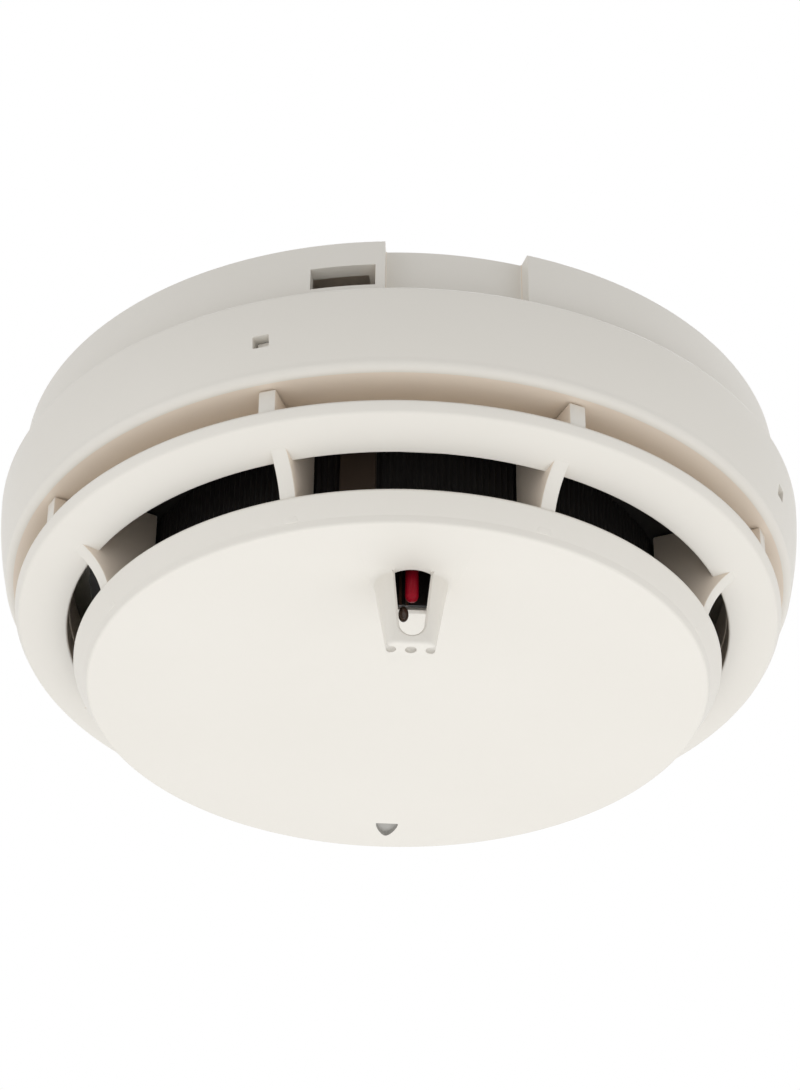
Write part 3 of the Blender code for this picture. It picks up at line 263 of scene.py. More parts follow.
# moulded grain: slow noise tints the colour, two fine noises add up to the height
# faces marked as toned get a colour of their own, which is a painted grey shade on the mark and the dents;
# faces marked for painted shade get a warm colour, a painted shade
def makeMouldedGrain():
    group = finishGroup(
        "mouldedGrain",
        {
            "Colour": (0.8, 0.8, 0.8, 1.0),
            "Tint": (0.8, 0.8, 0.8, 1.0),
            "Tone And Shade": (0.8, 0.8, 0.8, 1.0),
            "Painted Shade": (0.8, 0.7, 0.6, 1.0),
            "Rough Low": 0.4,
            "Rough High": 0.5,
            "Grain Scale": 2600.0,
        },
    )
    start = nodeIn(group, "NodeGroupInput", (-900, 0))
    end = nodeIn(group, "NodeGroupOutput", (500, 0))
    place = nodeIn(group, "ShaderNodeTexCoord", (-900, -300))
    slow = nodeIn(group, "ShaderNodeTexNoise", (-600, 200))
    slow.inputs["Scale"].default_value = 45.0
    slow.inputs["Detail"].default_value = 3.0
    fine = nodeIn(group, "ShaderNodeTexNoise", (-600, -100))
    fine.inputs["Detail"].default_value = 2.0
    specks = nodeIn(group, "ShaderNodeTexNoise", (-600, -400))
    specks.inputs["Scale"].default_value = 700.0
    blend = nodeIn(group, "ShaderNodeMix", (0, 200), data_type="RGBA")
    toneAndShade = nodeIn(group, "ShaderNodeAttribute", (0, 500), attribute_name="toneAndShade")
    pick = nodeIn(group, "ShaderNodeMix", (250, 200), data_type="RGBA")
    paintedShade = nodeIn(group, "ShaderNodeAttribute", (-200, 500), attribute_name="paintedShade")
    paintedShadeMix = nodeIn(group, "ShaderNodeMix", (130, 350), data_type="RGBA")
    rough = nodeIn(group, "ShaderNodeMapRange", (0, -50))
    total = nodeIn(group, "ShaderNodeMath", (0, -350), operation="ADD")
    for noise in (slow, fine, specks):
        link(group, place, "Object", noise, "Vector")
    link(group, start, "Grain Scale", fine, "Scale")
    link(group, slow, "Fac", blend, "Factor")
    link(group, start, "Colour", blend, "A")
    link(group, start, "Tint", blend, "B")
    link(group, specks, "Fac", rough, "Value")
    link(group, start, "Rough Low", rough, "To Min")
    link(group, start, "Rough High", rough, "To Max")
    link(group, fine, "Fac", total, 0)
    link(group, specks, "Fac", total, 1)
    link(group, paintedShade, "Fac", paintedShadeMix, "Factor")
    link(group, blend, "Result", paintedShadeMix, "A")
    link(group, start, "Painted Shade", paintedShadeMix, "B")
    link(group, toneAndShade, "Fac", pick, "Factor")
    link(group, paintedShadeMix, "Result", pick, "A")
    link(group, start, "Tone And Shade", pick, "B")
    link(group, pick, "Result", end, "Colour")
    link(group, rough, "Result", end, "Roughness")
    link(group, total, "Value", end, "Height")
    return group


# drawn metal: noise stretched along one axis gives fine lines in colour, roughness and height
def makeDrawnMetal():
    group = finishGroup(
        "drawnMetal",
        {
            "Colour": (0.6, 0.6, 0.6, 1.0),
            "Dull": (0.4, 0.4, 0.4, 1.0),
            "Rough Low": 0.25,
            "Rough High": 0.45,
        },
    )
    start = nodeIn(group, "NodeGroupInput", (-900, 0))
    end = nodeIn(group, "NodeGroupOutput", (500, 0))
    place = nodeIn(group, "ShaderNodeTexCoord", (-1100, -300))
    stretch = nodeIn(group, "ShaderNodeMapping", (-900, -300))
    stretch.inputs["Scale"].default_value = (1.0, 14.0, 14.0)
    lines = nodeIn(group, "ShaderNodeTexNoise", (-600, -100))
    lines.inputs["Scale"].default_value = 400.0
    lines.inputs["Detail"].default_value = 4.0
    cloud = nodeIn(group, "ShaderNodeTexNoise", (-600, 200))
    cloud.inputs["Scale"].default_value = 180.0
    blend = nodeIn(group, "ShaderNodeMix", (0, 200), data_type="RGBA")
    rough = nodeIn(group, "ShaderNodeMapRange", (0, -50))
    link(group, place, "Object", stretch, "Vector")
    link(group, stretch, "Vector", lines, "Vector")
    link(group, place, "Object", cloud, "Vector")
    link(group, cloud, "Fac", blend, "Factor")
    link(group, start, "Colour", blend, "A")
    link(group, start, "Dull", blend, "B")
    link(group, lines, "Fac", rough, "Value")
    link(group, start, "Rough Low", rough, "To Min")
    link(group, start, "Rough High", rough, "To Max")
    link(group, blend, "Result", end, "Colour")
    link(group, rough, "Result", end, "Roughness")
    link(group, lines, "Fac", end, "Height")
    return group


mouldedGrain = makeMouldedGrain()
drawnMetal = makeDrawnMetal()


# a group drives the colour, roughness and bump of one shader
def finishMaterial(name, group, values, bump, sockets):
    material = bpy.data.materials.new(name)
    material.use_nodes = True
    tree = material.node_tree
    shader = tree.nodes["Principled BSDF"]
    effect = nodeIn(tree, "ShaderNodeGroup", (-500, 0), node_tree=group)
    for key, value in values.items():
        effect.inputs[key].default_value = (*value, 1.0) if isinstance(value, tuple) else value
    relief = nodeIn(tree, "ShaderNodeBump", (-250, -200))
    relief.inputs["Strength"].default_value = bump["strength"]
    relief.inputs["Distance"].default_value = bump["depth"] * mm
    link(tree, effect, "Colour", shader, "Base Color")
    link(tree, effect, "Roughness", shader, "Roughness")
    link(tree, effect, "Height", relief, "Height")
    link(tree, relief, "Normal", shader, "Normal")
    for key, value in sockets.items():
        shader.inputs[key].default_value = value
    return material


# painted shade: a warm colour standing in for the warm shade inside the groove, the vents and the base
paintedWarmShade = (0.81, 0.70, 0.58)  # faces inside the groove, the vents and the base
finishes = {
    "coverWhite": dict(
        colour=(0.815, 0.775, 0.705),
        tint=(0.79, 0.75, 0.678),
        # painted shade: grey for the sunk mark's floor and the dents in the tip
        toneAndShade=(0.40, 0.384, 0.352),  # mark and dents
        rough=(0.40, 0.50),
        grain=2600.0,
    ),
    "baseWhite": dict(
        colour=(0.805, 0.766, 0.698),
        tint=(0.78, 0.741, 0.67),
        rough=(0.44, 0.54),
        grain=2200.0,
    ),
    "chamberBlack": dict(
        colour=(0.012, 0.011, 0.010),
        tint=(0.022, 0.020, 0.018),
        toneAndShade=(0.07, 0.048, 0.034),  # plain pillar
        rough=(0.42, 0.6),
        grain=1800.0,
    ),
    "chipBlack": dict(
        colour=(0.02, 0.02, 0.022),
        tint=(0.035, 0.035, 0.036),
        rough=(0.45, 0.6),
        grain=3000.0,
    ),
    "beadBrown": dict(
        colour=(0.035, 0.018, 0.010),
        tint=(0.075, 0.042, 0.025),
        rough=(0.22, 0.38),
        grain=2000.0,
    ),
    "lensClear": dict(
        colour=(0.78, 0.74, 0.66),
        tint=(0.70, 0.66, 0.58),
        rough=(0.12, 0.2),
        grain=2500.0,
    ),
}
plastics = {}
for finishName, spec in finishes.items():
    looks = {
        "Colour": spec["colour"],
        "Tint": spec["tint"],
        "Tone And Shade": spec.get("toneAndShade", spec["colour"]),
        "Painted Shade": paintedWarmShade,
        "Rough Low": spec["rough"][0],
        "Rough High": spec["rough"][1],
        "Grain Scale": spec["grain"],
    }
    relief = dict(strength=0.12, depth=0.05)
    plain = {"Metallic": 0.0, "IOR": 1.5}
    plastics[finishName] = finishMaterial(finishName, mouldedGrain, looks, relief, plain)

metalSpecs = {
    "springBronze": dict(colour=(0.72, 0.49, 0.24), dull=(0.55, 0.35, 0.16), rough=(0.24, 0.42)),
    "platedSteel": dict(colour=(0.66, 0.66, 0.64), dull=(0.50, 0.50, 0.47), rough=(0.26, 0.45)),
}
metals = {}
for finishName, spec in metalSpecs.items():
    looks = {
        "Colour": spec["colour"],
        "Dull": spec["dull"],
        "Rough Low": spec["rough"][0],
        "Rough High": spec["rough"][1],
    }
    relief = dict(strength=0.15, depth=0.03)
    metals[finishName] = finishMaterial(finishName, drawnMetal, looks, relief, {"Metallic": 1.0})


# red guide: a deep clear red, with painted shade darker towards the board and painted light bright at its
# round end
def makeRedGuide():
    material = bpy.data.materials.new("guideRed")
    material.use_nodes = True
    tree = material.node_tree
    shader = tree.nodes["Principled BSDF"]
    place = nodeIn(tree, "ShaderNodeTexCoord", (-1100, 0))
    split = nodeIn(tree, "ShaderNodeSeparateXYZ", (-900, 0))
    depth = nodeIn(tree, "ShaderNodeMapRange", (-700, 0))
    depth.inputs["From Min"].default_value = -42.0 * mm  # the rod's round end
    depth.inputs["From Max"].default_value = -37.5 * mm  # inside the face
    swirl = nodeIn(tree, "ShaderNodeTexNoise", (-700, -300))
    swirl.inputs["Scale"].default_value = 900.0
    # painted light at the round end, fading to painted shade inside the face
    ramp = nodeIn(tree, "ShaderNodeValToRGB", (-450, 0))
    ramp.color_ramp.elements[0].color = (0.30, 0.003, 0.014, 1.0)
    ramp.color_ramp.elements[1].color = (0.16, 0.002, 0.008, 1.0)
    rough = nodeIn(tree, "ShaderNodeMapRange", (-450, -300))
    rough.inputs["To Min"].default_value = 0.28
    rough.inputs["To Max"].default_value = 0.38
    link(tree, place, "Object", split, "Vector")
    link(tree, place, "Object", swirl, "Vector")
    link(tree, split, "Z", depth, "Value")
    link(tree, depth, "Result", ramp, "Fac")
    link(tree, ramp, "Color", shader, "Base Color")
    link(tree, swirl, "Fac", rough, "Value")
    link(tree, rough, "Result", shader, "Roughness")
    shader.inputs["Specular IOR Level"].default_value = 0.12
    return material


# board green: resist over faint tracks, drawn with a brick pattern, with pale pads from small cells
def makeBoardGreen():
    material = bpy.data.materials.new("boardGreen")
    material.use_nodes = True
    tree = material.node_tree
    shader = tree.nodes["Principled BSDF"]
    place = nodeIn(tree, "ShaderNodeTexCoord", (-1100, 0))
    tracks = nodeIn(tree, "ShaderNodeTexBrick", (-800, 100))
    tracks.inputs["Scale"].default_value = 120.0
    tracks.inputs["Mortar Size"].default_value = 0.035
    tracks.inputs["Color1"].default_value = (0.012, 0.105, 0.035, 1.0)
    tracks.inputs["Color2"].default_value = (0.016, 0.125, 0.042, 1.0)
    tracks.inputs["Mortar"].default_value = (0.03, 0.20, 0.075, 1.0)
    cells = nodeIn(tree, "ShaderNodeTexVoronoi", (-800, -250))
    cells.inputs["Scale"].default_value = 260.0
    pads = nodeIn(tree, "ShaderNodeMapRange", (-550, -250))
    pads.inputs["From Min"].default_value = 0.16
    pads.inputs["From Max"].default_value = 0.12
    blend = nodeIn(tree, "ShaderNodeMix", (-300, 50), data_type="RGBA")
    blend.inputs["B"].default_value = (0.55, 0.55, 0.52, 1.0)
    relief = nodeIn(tree, "ShaderNodeBump", (-300, -400))
    relief.inputs["Strength"].default_value = 0.25
    relief.inputs["Distance"].default_value = 0.05 * mm
    link(tree, place, "Object", tracks, "Vector")
    link(tree, place, "Object", cells, "Vector")
    link(tree, cells, "Distance", pads, "Value")
    link(tree, pads, "Result", blend, "Factor")
    link(tree, tracks, "Color", blend, "A")
    link(tree, blend, "Result", shader, "Base Color")
    link(tree, tracks, "Fac", relief, "Height")
    link(tree, relief, "Normal", shader, "Normal")
    shader.inputs["Roughness"].default_value = 0.32
    return material


guideRed = makeRedGuide()
boardGreen = makeBoardGreen()
print("materials made")


def dress(obj, material):
    obj.data.materials.clear()
    obj.data.materials.append(material)
    return obj


# mounting base: shallow cup with a stepped-back stretch of wall, a long slot, ledges, bosses and holes
base = dict(
    radius=55.95,
    draft=0.1,
    height=9.9,
    wall=2.2,
    plate=2.0,
    recess=(-5.6, 14.4),  # azimuths of the stepped-back stretch
    recessRadius=53.4,
    slot=dict(azimuth=-11.4, width=8.8, drop=4.2, tall=3.5, outward=(50.3, 59.0)),
    entry=dict(azimuth=180.0, across=(-8, 8), outward=(28, 40)),
    fixing=dict(places=(-30, 30), radius=2.25, travel=2.25),
    lugs=(60.0, 180.0, 300.0),
    twist=18.0,
    shelf=(50.9, 54.85),  # radii between which ledges and stops stand
    ledge=dict(across=(-7, 7.3), height=(-9.3, -7.3)),
    stop=dict(near=6.3, far=8.3, height=(-8.9, -4.2)),
    terminals=(45.0, 135.0, 225.0, 315.0),
    terminalRadius=18,
    boss=dict(bore=1.8, radius=3.6, top=-1.5, foot=-4.3),
)


def makeCup():
    r, h, plate = base["radius"], base["height"], base["plate"]
    bore = r - base["wall"]
    path = roundedPath(
        [
            (0, 0),
            (r, 0, 0.35),
            (r + base["draft"], -h, 0.35),
            (bore, -h, 0.3),
            (bore, -plate, 0.4),
            (0, -plate),
        ]
    )
    return turned("mountingBaseShell", path, closed=False)


def makeBaseCuts():
    start, end = base["recess"]
    plan = sector(base["recessRadius"], base["radius"] + 2 * spare, start, end)
    recess = easeEdges(planPrism("recess", plan, -base["height"] - spare, spare), 0.25)
    slot, entry, fixing = base["slot"], base["entry"], base["fixing"]
    half = slot["width"] / 2
    level = (-slot["drop"] - slot["tall"], -slot["drop"])
    cuts = [recess, boxPrism("slot", (-half, half), slot["outward"], level, slot["azimuth"])]
    through = (-base["plate"] - spare, spare)
    cuts.append(boxPrism("entry", entry["across"], entry["outward"], through, entry["azimuth"]))
    turn = np.linspace(-np.pi / 2, np.pi / 2, 17)
    cap = np.stack([np.cos(turn), np.sin(turn)], 1) * fixing["radius"]
    oval = np.concatenate([cap + [fixing["travel"], 0], -cap - [fixing["travel"], 0]])
    return cuts + [planPrism("fixing", oval + [x, 0], *through) for x in fixing["places"]]


def makeBaseExtras():  # ledges and stops for the lugs, and bosses under the terminals
    ledge, stop, boss, shelf = base["ledge"], base["stop"], base["boss"], base["shelf"]
    near, far = stop["near"], stop["far"]
    extras = []
    for azimuth in base["lugs"]:
        extras.append(boxPrism("ledge", ledge["across"], shelf, ledge["height"], azimuth))
        extras.append(boxPrism("stop", (near, far), shelf, stop["height"], azimuth))
        extras.append(boxPrism("stop", (-far, -near), shelf, stop["height"], azimuth - base["twist"]))
    b, r, top, foot = boss["bore"], boss["radius"], boss["top"], boss["foot"]
    tube = [(b, top), (r, top), (r, foot), (b, foot)]
    for azimuth in np.radians(base["terminals"]):
        spot = base["terminalRadius"] * np.array([math.sin(azimuth), -math.cos(azimuth)])
        extras.append(turned("boss", tube, 48, True, spot))
    return extras


def makeBase():
    wall, plate = base["wall"], base["plate"]
    bore = base["radius"] - wall
    inner = base["recessRadius"]
    start, end = base["recess"]
    side = math.degrees(wall / inner)
    plan = sector(inner - wall, bore + wall / 2, start - side, end + side)
    backing = planPrism("backing", plan, -base["height"], -plate / 2)
    shell = carve(makeCup(), [backing], "UNION")
    carve(shell, makeBaseCuts())
    shell = smoothBy(gather("mountingBaseShell", [shell] + makeBaseExtras()), 32)
    x, y, z = faceValues(shell, "center")
    across, deep = faceValues(shell, "normal")[:2]
    radius = np.hypot(x, y)
    outward = across * x + deep * y > 0.5 * radius  # the recess's wall, which isn't inside
    # painted shade: faces inside the cup, apart from the recess's wall, take the warm painted shade
    return markFaces(shell, "paintedShade", (radius < bore + 0.1) & (z < -plate + 0.1) & ~outward)


baseShell = dress(makeBase(), plastics["baseWhite"])
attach(baseShell, "base")
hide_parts("mounting_base")
print("mounting base made")


# outer housing: tapered band r = full - taper * share^2, round lip, flat groove roof, back wall
housing = dict(
    top=-10.2,
    height=12.3,
    radius=58.65,
    taper=1.7,
    wall=2.0,
    lip=1.3,
    brow=0.6,
    back=49.6,
    ringTop=-26.4,
    boreFoot=-12.0,
    innerBend=-16.4,
    window=dict(width=2.3, tall=1.8, rise=5.55, outward=(54.2, 61.0), azimuths=(64.35, 158.2, 244.35, 338.2)),
)


def bandRadius(height):
    share = (housing["top"] - height) / housing["height"]
    return housing["radius"] - housing["taper"] * share ** 2


def makeWindowCuts(level):
    window = housing["window"]
    across, tall = window["width"] / 2, window["tall"] / 2
    span = (level - tall, level + tall)
    cuts = []
    for azimuth in window["azimuths"]:
        cut = boxPrism("window", (-across, across), window["outward"], span, azimuth)
        cuts.append(easeEdges(cut, 0.2))
    return cuts


def makeHousing():
    top, wall, lip = housing["top"], housing["wall"], housing["lip"]
    lipFoot = top - housing["height"]
    bandFoot = lipFoot + lip
    levels = np.linspace(top - housing["brow"], bandFoot, 28)
    outside = np.stack([bandRadius(levels), levels], 1)
    hub = np.array([bandRadius(bandFoot) - lip, bandFoot])
    turn = np.radians(np.linspace(-8, -90, 10))
    edge = hub + lip * np.stack([np.cos(turn), np.sin(turn)], 1)
    back = housing["back"]
    backFoot = housing["ringTop"] + gap
    roofTop = lipFoot + wall
    bend, boreFoot = housing["innerBend"], housing["boreFoot"]
    bore = bandRadius(boreFoot) - wall
    inside = roundedPath(
        [
            tuple(edge[-1]),
            (back, lipFoot, 0.6),
            (back, backFoot, 0.2),
            (back - wall, backFoot, 0.2),
            (back - wall, roofTop, 0.2),
            (bandRadius(roofTop) - wall, roofTop, 0.3),
            (bandRadius(bend) - wall, bend),
            (bore, boreFoot),
            (bore, top),
        ]
    )
    brow = roundedPath([(bore, top), (housing["radius"], top, 0.55), tuple(outside[0])])
    shell = turned("outerHousingShell", np.concatenate([brow[1:-1], outside, edge, inside[1:]]))
    carve(shell, makeWindowCuts(lipFoot + housing["window"]["rise"]))
    x, y, z = faceValues(shell, "center")
    # painted shade: the faces in the groove take the warm painted shade
    inGroove = (np.hypot(x, y) < hub[0] - 0.1) & (z < lipFoot + 0.1)
    return markFaces(smoothBy(shell, 30), "paintedShade", inGroove)


housingShell = dress(makeHousing(), plastics["coverWhite"])
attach(housingShell, "head")
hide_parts("outer_housing")
print("outer housing made")


# lower cover: crowned ring, face disc with drawn-in rim, fins with hollow edges, struts, sensor cage
cover = dict(
    ringRadius=55.65,
    shoulder=(54.75, -28.1),  # radius and height where the ring's side turns into its underside
    crownStart=53.4,
    crownAhead=51.5,  # only gives the direction in which the shoulder's arc ends
    crown=0.2,
    ventRadius=47.7,
    ventTop=-29.4,
    root=-27.4,  # height inside the ring where fins, struts and hooks stand
    discRadius=46.75,
    discTop=-34.15,
    faceRadius=44.7,
    face=-38.25,
    faceLoop=30.0,  # radius of a plain edge loop across the face
    sheet=2.0,
    rim=1.6,
    azimuths=(21.8, 64.35, 115.65, 158.2, 201.8, 244.35, 295.65, 338.2),
)
fin = dict(
    width=2.3,
    inner=39.4,
    upright=47.0,
    top=-20.5,
    gusset=51.6,
    toe=44.9,
    foot=((45.55, -35.8), (45.95, -34.6)),  # follows the disc's rim
    inset=0.45,
    bend=0.95,
    sunk=0.4,
)
strut = dict(width=2.4, inset=0.6)
hook = dict(
    azimuths=(0.0, 137.0, 223.0),
    half=3.0,
    thick=1.4,
    barb=1.3,
    nose=0.4,
    head=1.7,
    footHalf=3.4,
    footInset=1.8,
    footOut=48.7,
    footLevel=(-27.6, -26.7),
)
cage = dict(
    offset=29.95,
    height=10.4,
    width=10.0,
    deep=7.0,
    corner=3.0,
    taper=1.75,
    wall=0.9,
    cap=1.1,
    fillet=0.6,
    ease=0.4,
    topWidth=5.4,
    bottomWidth=3.4,
    rim=1.3,
    chamfer=0.35,
    hole=3.575,
    belowFace=0.03,
    reach=10,
    back=(7.0, 0.15),  # how far behind the middle the back window's cut starts and ends
    stalkDrop=2.4,
)
dent = dict(places=(-2.75, 0.0, 2.75), radius=0.8, depth=0.5, ease=0.3)
mark = dict(radius=36.6, aside=0.75, length=3.9, width=3.5, depth=0.7)
# half of the shield's outline, in shares of half its width and of its length
mark["shield"] = ((1.0, 0.0), (0.9, 0.3), (0.68, 0.6), (0.4, 0.85), (0.12, 1.0))


# underside of the ring: a straight slope from the shoulder to the vents, with a slight parabolic crown
def ringFace(radius):
    outer, level = cover["shoulder"]
    share = (outer - radius) / (outer - cover["ventRadius"])
    return level + (cover["ventTop"] - level) * share - cover["crown"] * 4 * share * (1 - share)


def makeRing():
    top = housing["ringTop"]
    vent = cover["ventRadius"]
    ahead = (cover["crownAhead"], ringFace(cover["crownAhead"]))
    edge = roundedPath([(vent, top), (cover["ringRadius"], top, 0.35), cover["shoulder"] + (0.8,), ahead])
    radii = np.linspace(cover["crownStart"], vent + 0.4, 16)
    crown = np.stack([radii, ringFace(radii)], 1)
    inner = roundedPath([tuple(crown[-1]), (vent, cover["ventTop"], 0.3), (vent, top)])
    return turned("coverRing", np.concatenate([edge[:-1], crown, inner[1:-1]]))


def makeDisc():
    face = cover["face"]
    inside = face + cover["sheet"]
    rimIn = cover["discRadius"] - cover["rim"]
    path = roundedPath(
        [
            (0, inside),
            (rimIn, inside, 0.4),
            (rimIn, cover["discTop"], 0.3),
            (cover["discRadius"], cover["discTop"], 0.35),
            (cover["faceRadius"] + 0.05, face + 1.0, 0.5),
            (cover["faceRadius"] - 0.35, face, 0.55),
            (cover["faceLoop"], face),
            (0, face),
        ]
    )
    return turned("coverDisc", path, closed=False)


# fin: its free edge is a quadratic curve from the disc's rim past a bend point to the ring's underside
def makeFins():
    start = np.array([cover["discRadius"] - fin["inset"], cover["discTop"]])
    end = np.array([fin["gusset"], ringFace(fin["gusset"]) + fin["sunk"]])
    bend = np.array([cover["ventRadius"], cover["ventTop"] - fin["bend"]])
    t = np.linspace(0, 1, 15)[:, None]
    edge = start * (1 - t) ** 2 + bend * 2 * t * (1 - t) + end * t ** 2
    low = cover["face"] + cover["sheet"] / 2
    inner, upright, top, root = fin["inner"], fin["upright"], fin["top"], cover["root"]
    foot = [(inner, low), (fin["toe"], low), *fin["foot"]]
    head = [(end[0], root), (upright, root), (upright, top), (inner, top)]
    outline = np.concatenate([foot, edge, head])
    half = fin["width"] / 2
    fins = []
    for azimuth in cover["azimuths"]:
        fins.append(easeEdges(prism("fin", outline, -half, half, (1, 2, 0), azimuth), 0.3))
    return fins


def makeStruts():
    outward = (housing["back"] + gap, cover["ringRadius"] - strut["inset"])
    height = (cover["root"], housing["top"] - housing["height"] - gap)
    half = strut["width"] / 2
    struts = []
    for azimuth in cover["azimuths"]:
        struts.append(easeEdges(boxPrism("strut", (-half, half), outward, height, azimuth), 0.25))
    return struts


def makeHooks():
    face = housing["back"] - housing["wall"] - gap
    half, thick, root = hook["half"], hook["thick"], cover["root"]
    outer = math.sqrt(face ** 2 - half ** 2)
    foot = housing["top"] - housing["height"] + housing["wall"] + gap
    tip = outer + hook["barb"]
    barb = [(outer, foot), (tip, foot), (tip, foot + hook["nose"]), (outer, foot + hook["barb"])]
    profile = [(outer - thick, root), (outer, root)] + barb + [(outer - thick, foot + hook["head"])]
    across = (-hook["footHalf"], hook["footHalf"])
    outward = (outer - hook["footInset"], hook["footOut"])
    hooks = []
    for azimuth in hook["azimuths"]:
        hooks.append(prism("hook", profile, -half, half, (1, 2, 0), azimuth))
        hooks.append(boxPrism("hookFoot", across, outward, hook["footLevel"], azimuth))
    return hooks


def cageSection(height, inset):  # the tower draws in steadily from the face to the tip
    share = max(cover["face"] - height, 0.0) / cage["height"]
    drawn = cage["taper"] * share + inset
    return height, cage["width"] / 2 - drawn, cage["deep"] / 2 - drawn, cage["corner"] - drawn


# tower with a hollow fillet at the face: outset = f - sqrt(f^2 - (f - d)^2) at depth d, and a round tip
def makeTower():
    face, f, e = cover["face"], cage["fillet"], cage["ease"]
    tip = face - cage["height"]
    sections = [cageSection(face + 1, -f)]
    for d in np.linspace(0, f, 7):
        sections.append(cageSection(face - d, math.sqrt(f ** 2 - (f - d) ** 2) - f))
    for turn in np.radians(np.linspace(0, 90, 6)):
        sections.append(cageSection(tip + e - e * math.sin(turn), e - e * math.cos(turn)))
    return lofted("tower", sections, (0.0, -cage["offset"]))


# window outline (across, height), grown by a margin, open upwards and round at the sill
def windowOutline(top, margin):
    corner = cage["bottomWidth"] / 2
    turn = np.radians(np.linspace(180, 360, 25))
    hub = cover["face"] - cage["height"] + cage["rim"] + corner
    sill = np.stack([np.cos(turn), np.sin(turn)], 1) * (corner + margin) + [0, hub]
    flare = (cage["topWidth"] / 2 - corner) / (cover["face"] + cover["sheet"] + gap - hub)
    half = corner + flare * (top - hub) + margin
    return np.concatenate([[(-half, top)], sill, [(half, top)]])


# chamfer round the window: a grown outline just before the front wall runs to the plain one behind it
def makeWindowEdge():
    width = cage["chamfer"]
    levels = []
    for margin, sink in ((width + 0.1, -0.1), (0.0, width)):
        outline = windowOutline(cover["face"] - cage["belowFace"], margin)
        front = [cage["offset"] + cageSection(height, 0)[2] - sink for height in outline[:, 1]]
        levels.append(np.stack([outline[:, 0], -np.array(front), outline[:, 1]], 1))
    return stacked("windowEdge", np.concatenate(levels), 2)


# front window: a round hole through the face, no wider than the window, and the plain outline below it
# the back window is the same outline below the stalk
def makeWindows(above):
    face, r = cover["face"], cage["hole"]
    middle = cage["offset"]
    high, low = above + gap, face - gap
    rod = [(0, high), (r, high), (r, low), (0, low)]
    hole = turned("hole", rod, 64, False, (0.0, -middle))
    wide = prism("wide", windowOutline(above + 2 * gap, -0.05), middle, middle + cage["reach"], (0, 2, 1))
    carve(hole, [wide], "INTERSECT")
    outline = windowOutline(face - cage["belowFace"], 0.0)
    below = prism("below", outline, middle, middle + cage["reach"], (0, 2, 1))
    outline = windowOutline(face - cage["stalkDrop"] - gap, 0.0)
    far, near = cage["back"]
    behind = prism("behind", outline, middle - far, middle - near, (0, 2, 1))
    return [hole, below, makeWindowEdge(), behind]


def makeDents(tip):
    r, high, low = dent["radius"], tip + dent["depth"], tip - gap
    bowl = roundedPath([(0, high), (r, high, dent["ease"]), (r, low), (0, low)])
    return [turned("dent", bowl, 32, False, (x, -cage["offset"])) for x in dent["places"]]


def makeCage(disc):
    face = cover["face"]
    tip = face - cage["height"]
    above = face + cover["sheet"] + gap
    carve(disc, [makeTower()], "UNION")
    bore = [cageSection(height, cage["wall"]) for height in (above, face, tip + cage["cap"])]
    carve(disc, [lofted("bore", bore, (0.0, -cage["offset"]))])
    carve(disc, makeWindows(above))
    return carve(disc, makeDents(tip))


def makeMark(disc):
    side = np.array(mark["shield"])
    share = np.concatenate([side, side[::-1] * [-1, 1]])
    outline = share * [mark["width"] / 2, mark["length"]] + [mark["aside"], mark["radius"]]
    low, high = cover["face"] - mark["depth"], cover["face"] + mark["depth"]
    return carve(disc, [easeEdges(planPrism("mark", outline, low, high), 0.2)])


# cover shades: the sunk mark and the dents in the tip are painted grey, a painted shade in their hollows
# sides of fins and struts and the ring's bore get the warm painted shade
def shadeCover(shell):
    x, y, z = faceValues(shell, "center")
    slack = 0.05
    face = cover["face"]
    tip = face - cage["height"]
    middle = mark["radius"] + mark["length"] / 2
    overMark = (abs(x - mark["aside"]) < mark["width"]) & (abs(y - middle) < mark["length"] / 2 + 0.1)
    inMark = overMark & (z > face + slack) & (z < face + mark["depth"] + slack)
    across = np.min([abs(x - place) for place in dent["places"]], axis=0)
    overDent = (across < dent["radius"] + slack) & (abs(y + cage["offset"]) < dent["radius"] + slack)
    inDent = overDent & (z > tip + slack) & (z < tip + dent["depth"] + slack)
    # painted shade: the sunk mark's floor fully grey, the dents' floors partly grey
    markFaces(shell, "toneAndShade", inMark + 0.3 * inDent)
    right, deep = faceValues(shell, "normal")[:2]
    radius = np.hypot(x, y)
    sideways = abs(right * y - deep * x) / np.maximum(radius, 1e-6) > 0.9
    webs = sideways & (radius > fin["inner"]) & (z > face + 0.5)
    bore = (abs(radius - cover["ventRadius"]) < 0.1) & (z > cover["ventTop"])
    # painted shade: warm colour on the sides of fins and struts and on the ring's bore
    return markFaces(shell, "paintedShade", webs | bore)


def makeCover():
    disc = makeMark(makeCage(makeDisc()))
    shell = gather("lowerCoverShell", [disc, makeRing()] + makeFins() + makeStruts() + makeHooks())
    return shadeCover(smoothBy(shell, 32))


coverShell = dress(makeCover(), plastics["coverWhite"])
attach(coverShell, "head")
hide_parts("lower_cover")
print("lower cover made")


# insect screen: tube whose outer radius falls by a raised-cosine rib round the axis, and one plain pillar
screen = dict(radius=38.85, bore=37.75, ribs=270, depth=0.3, top=-20.5, foot=-35.95)
pillar = dict(azimuth=-11.5, width=4.9, reach=0.8, sunk=0.55, short=0.15)


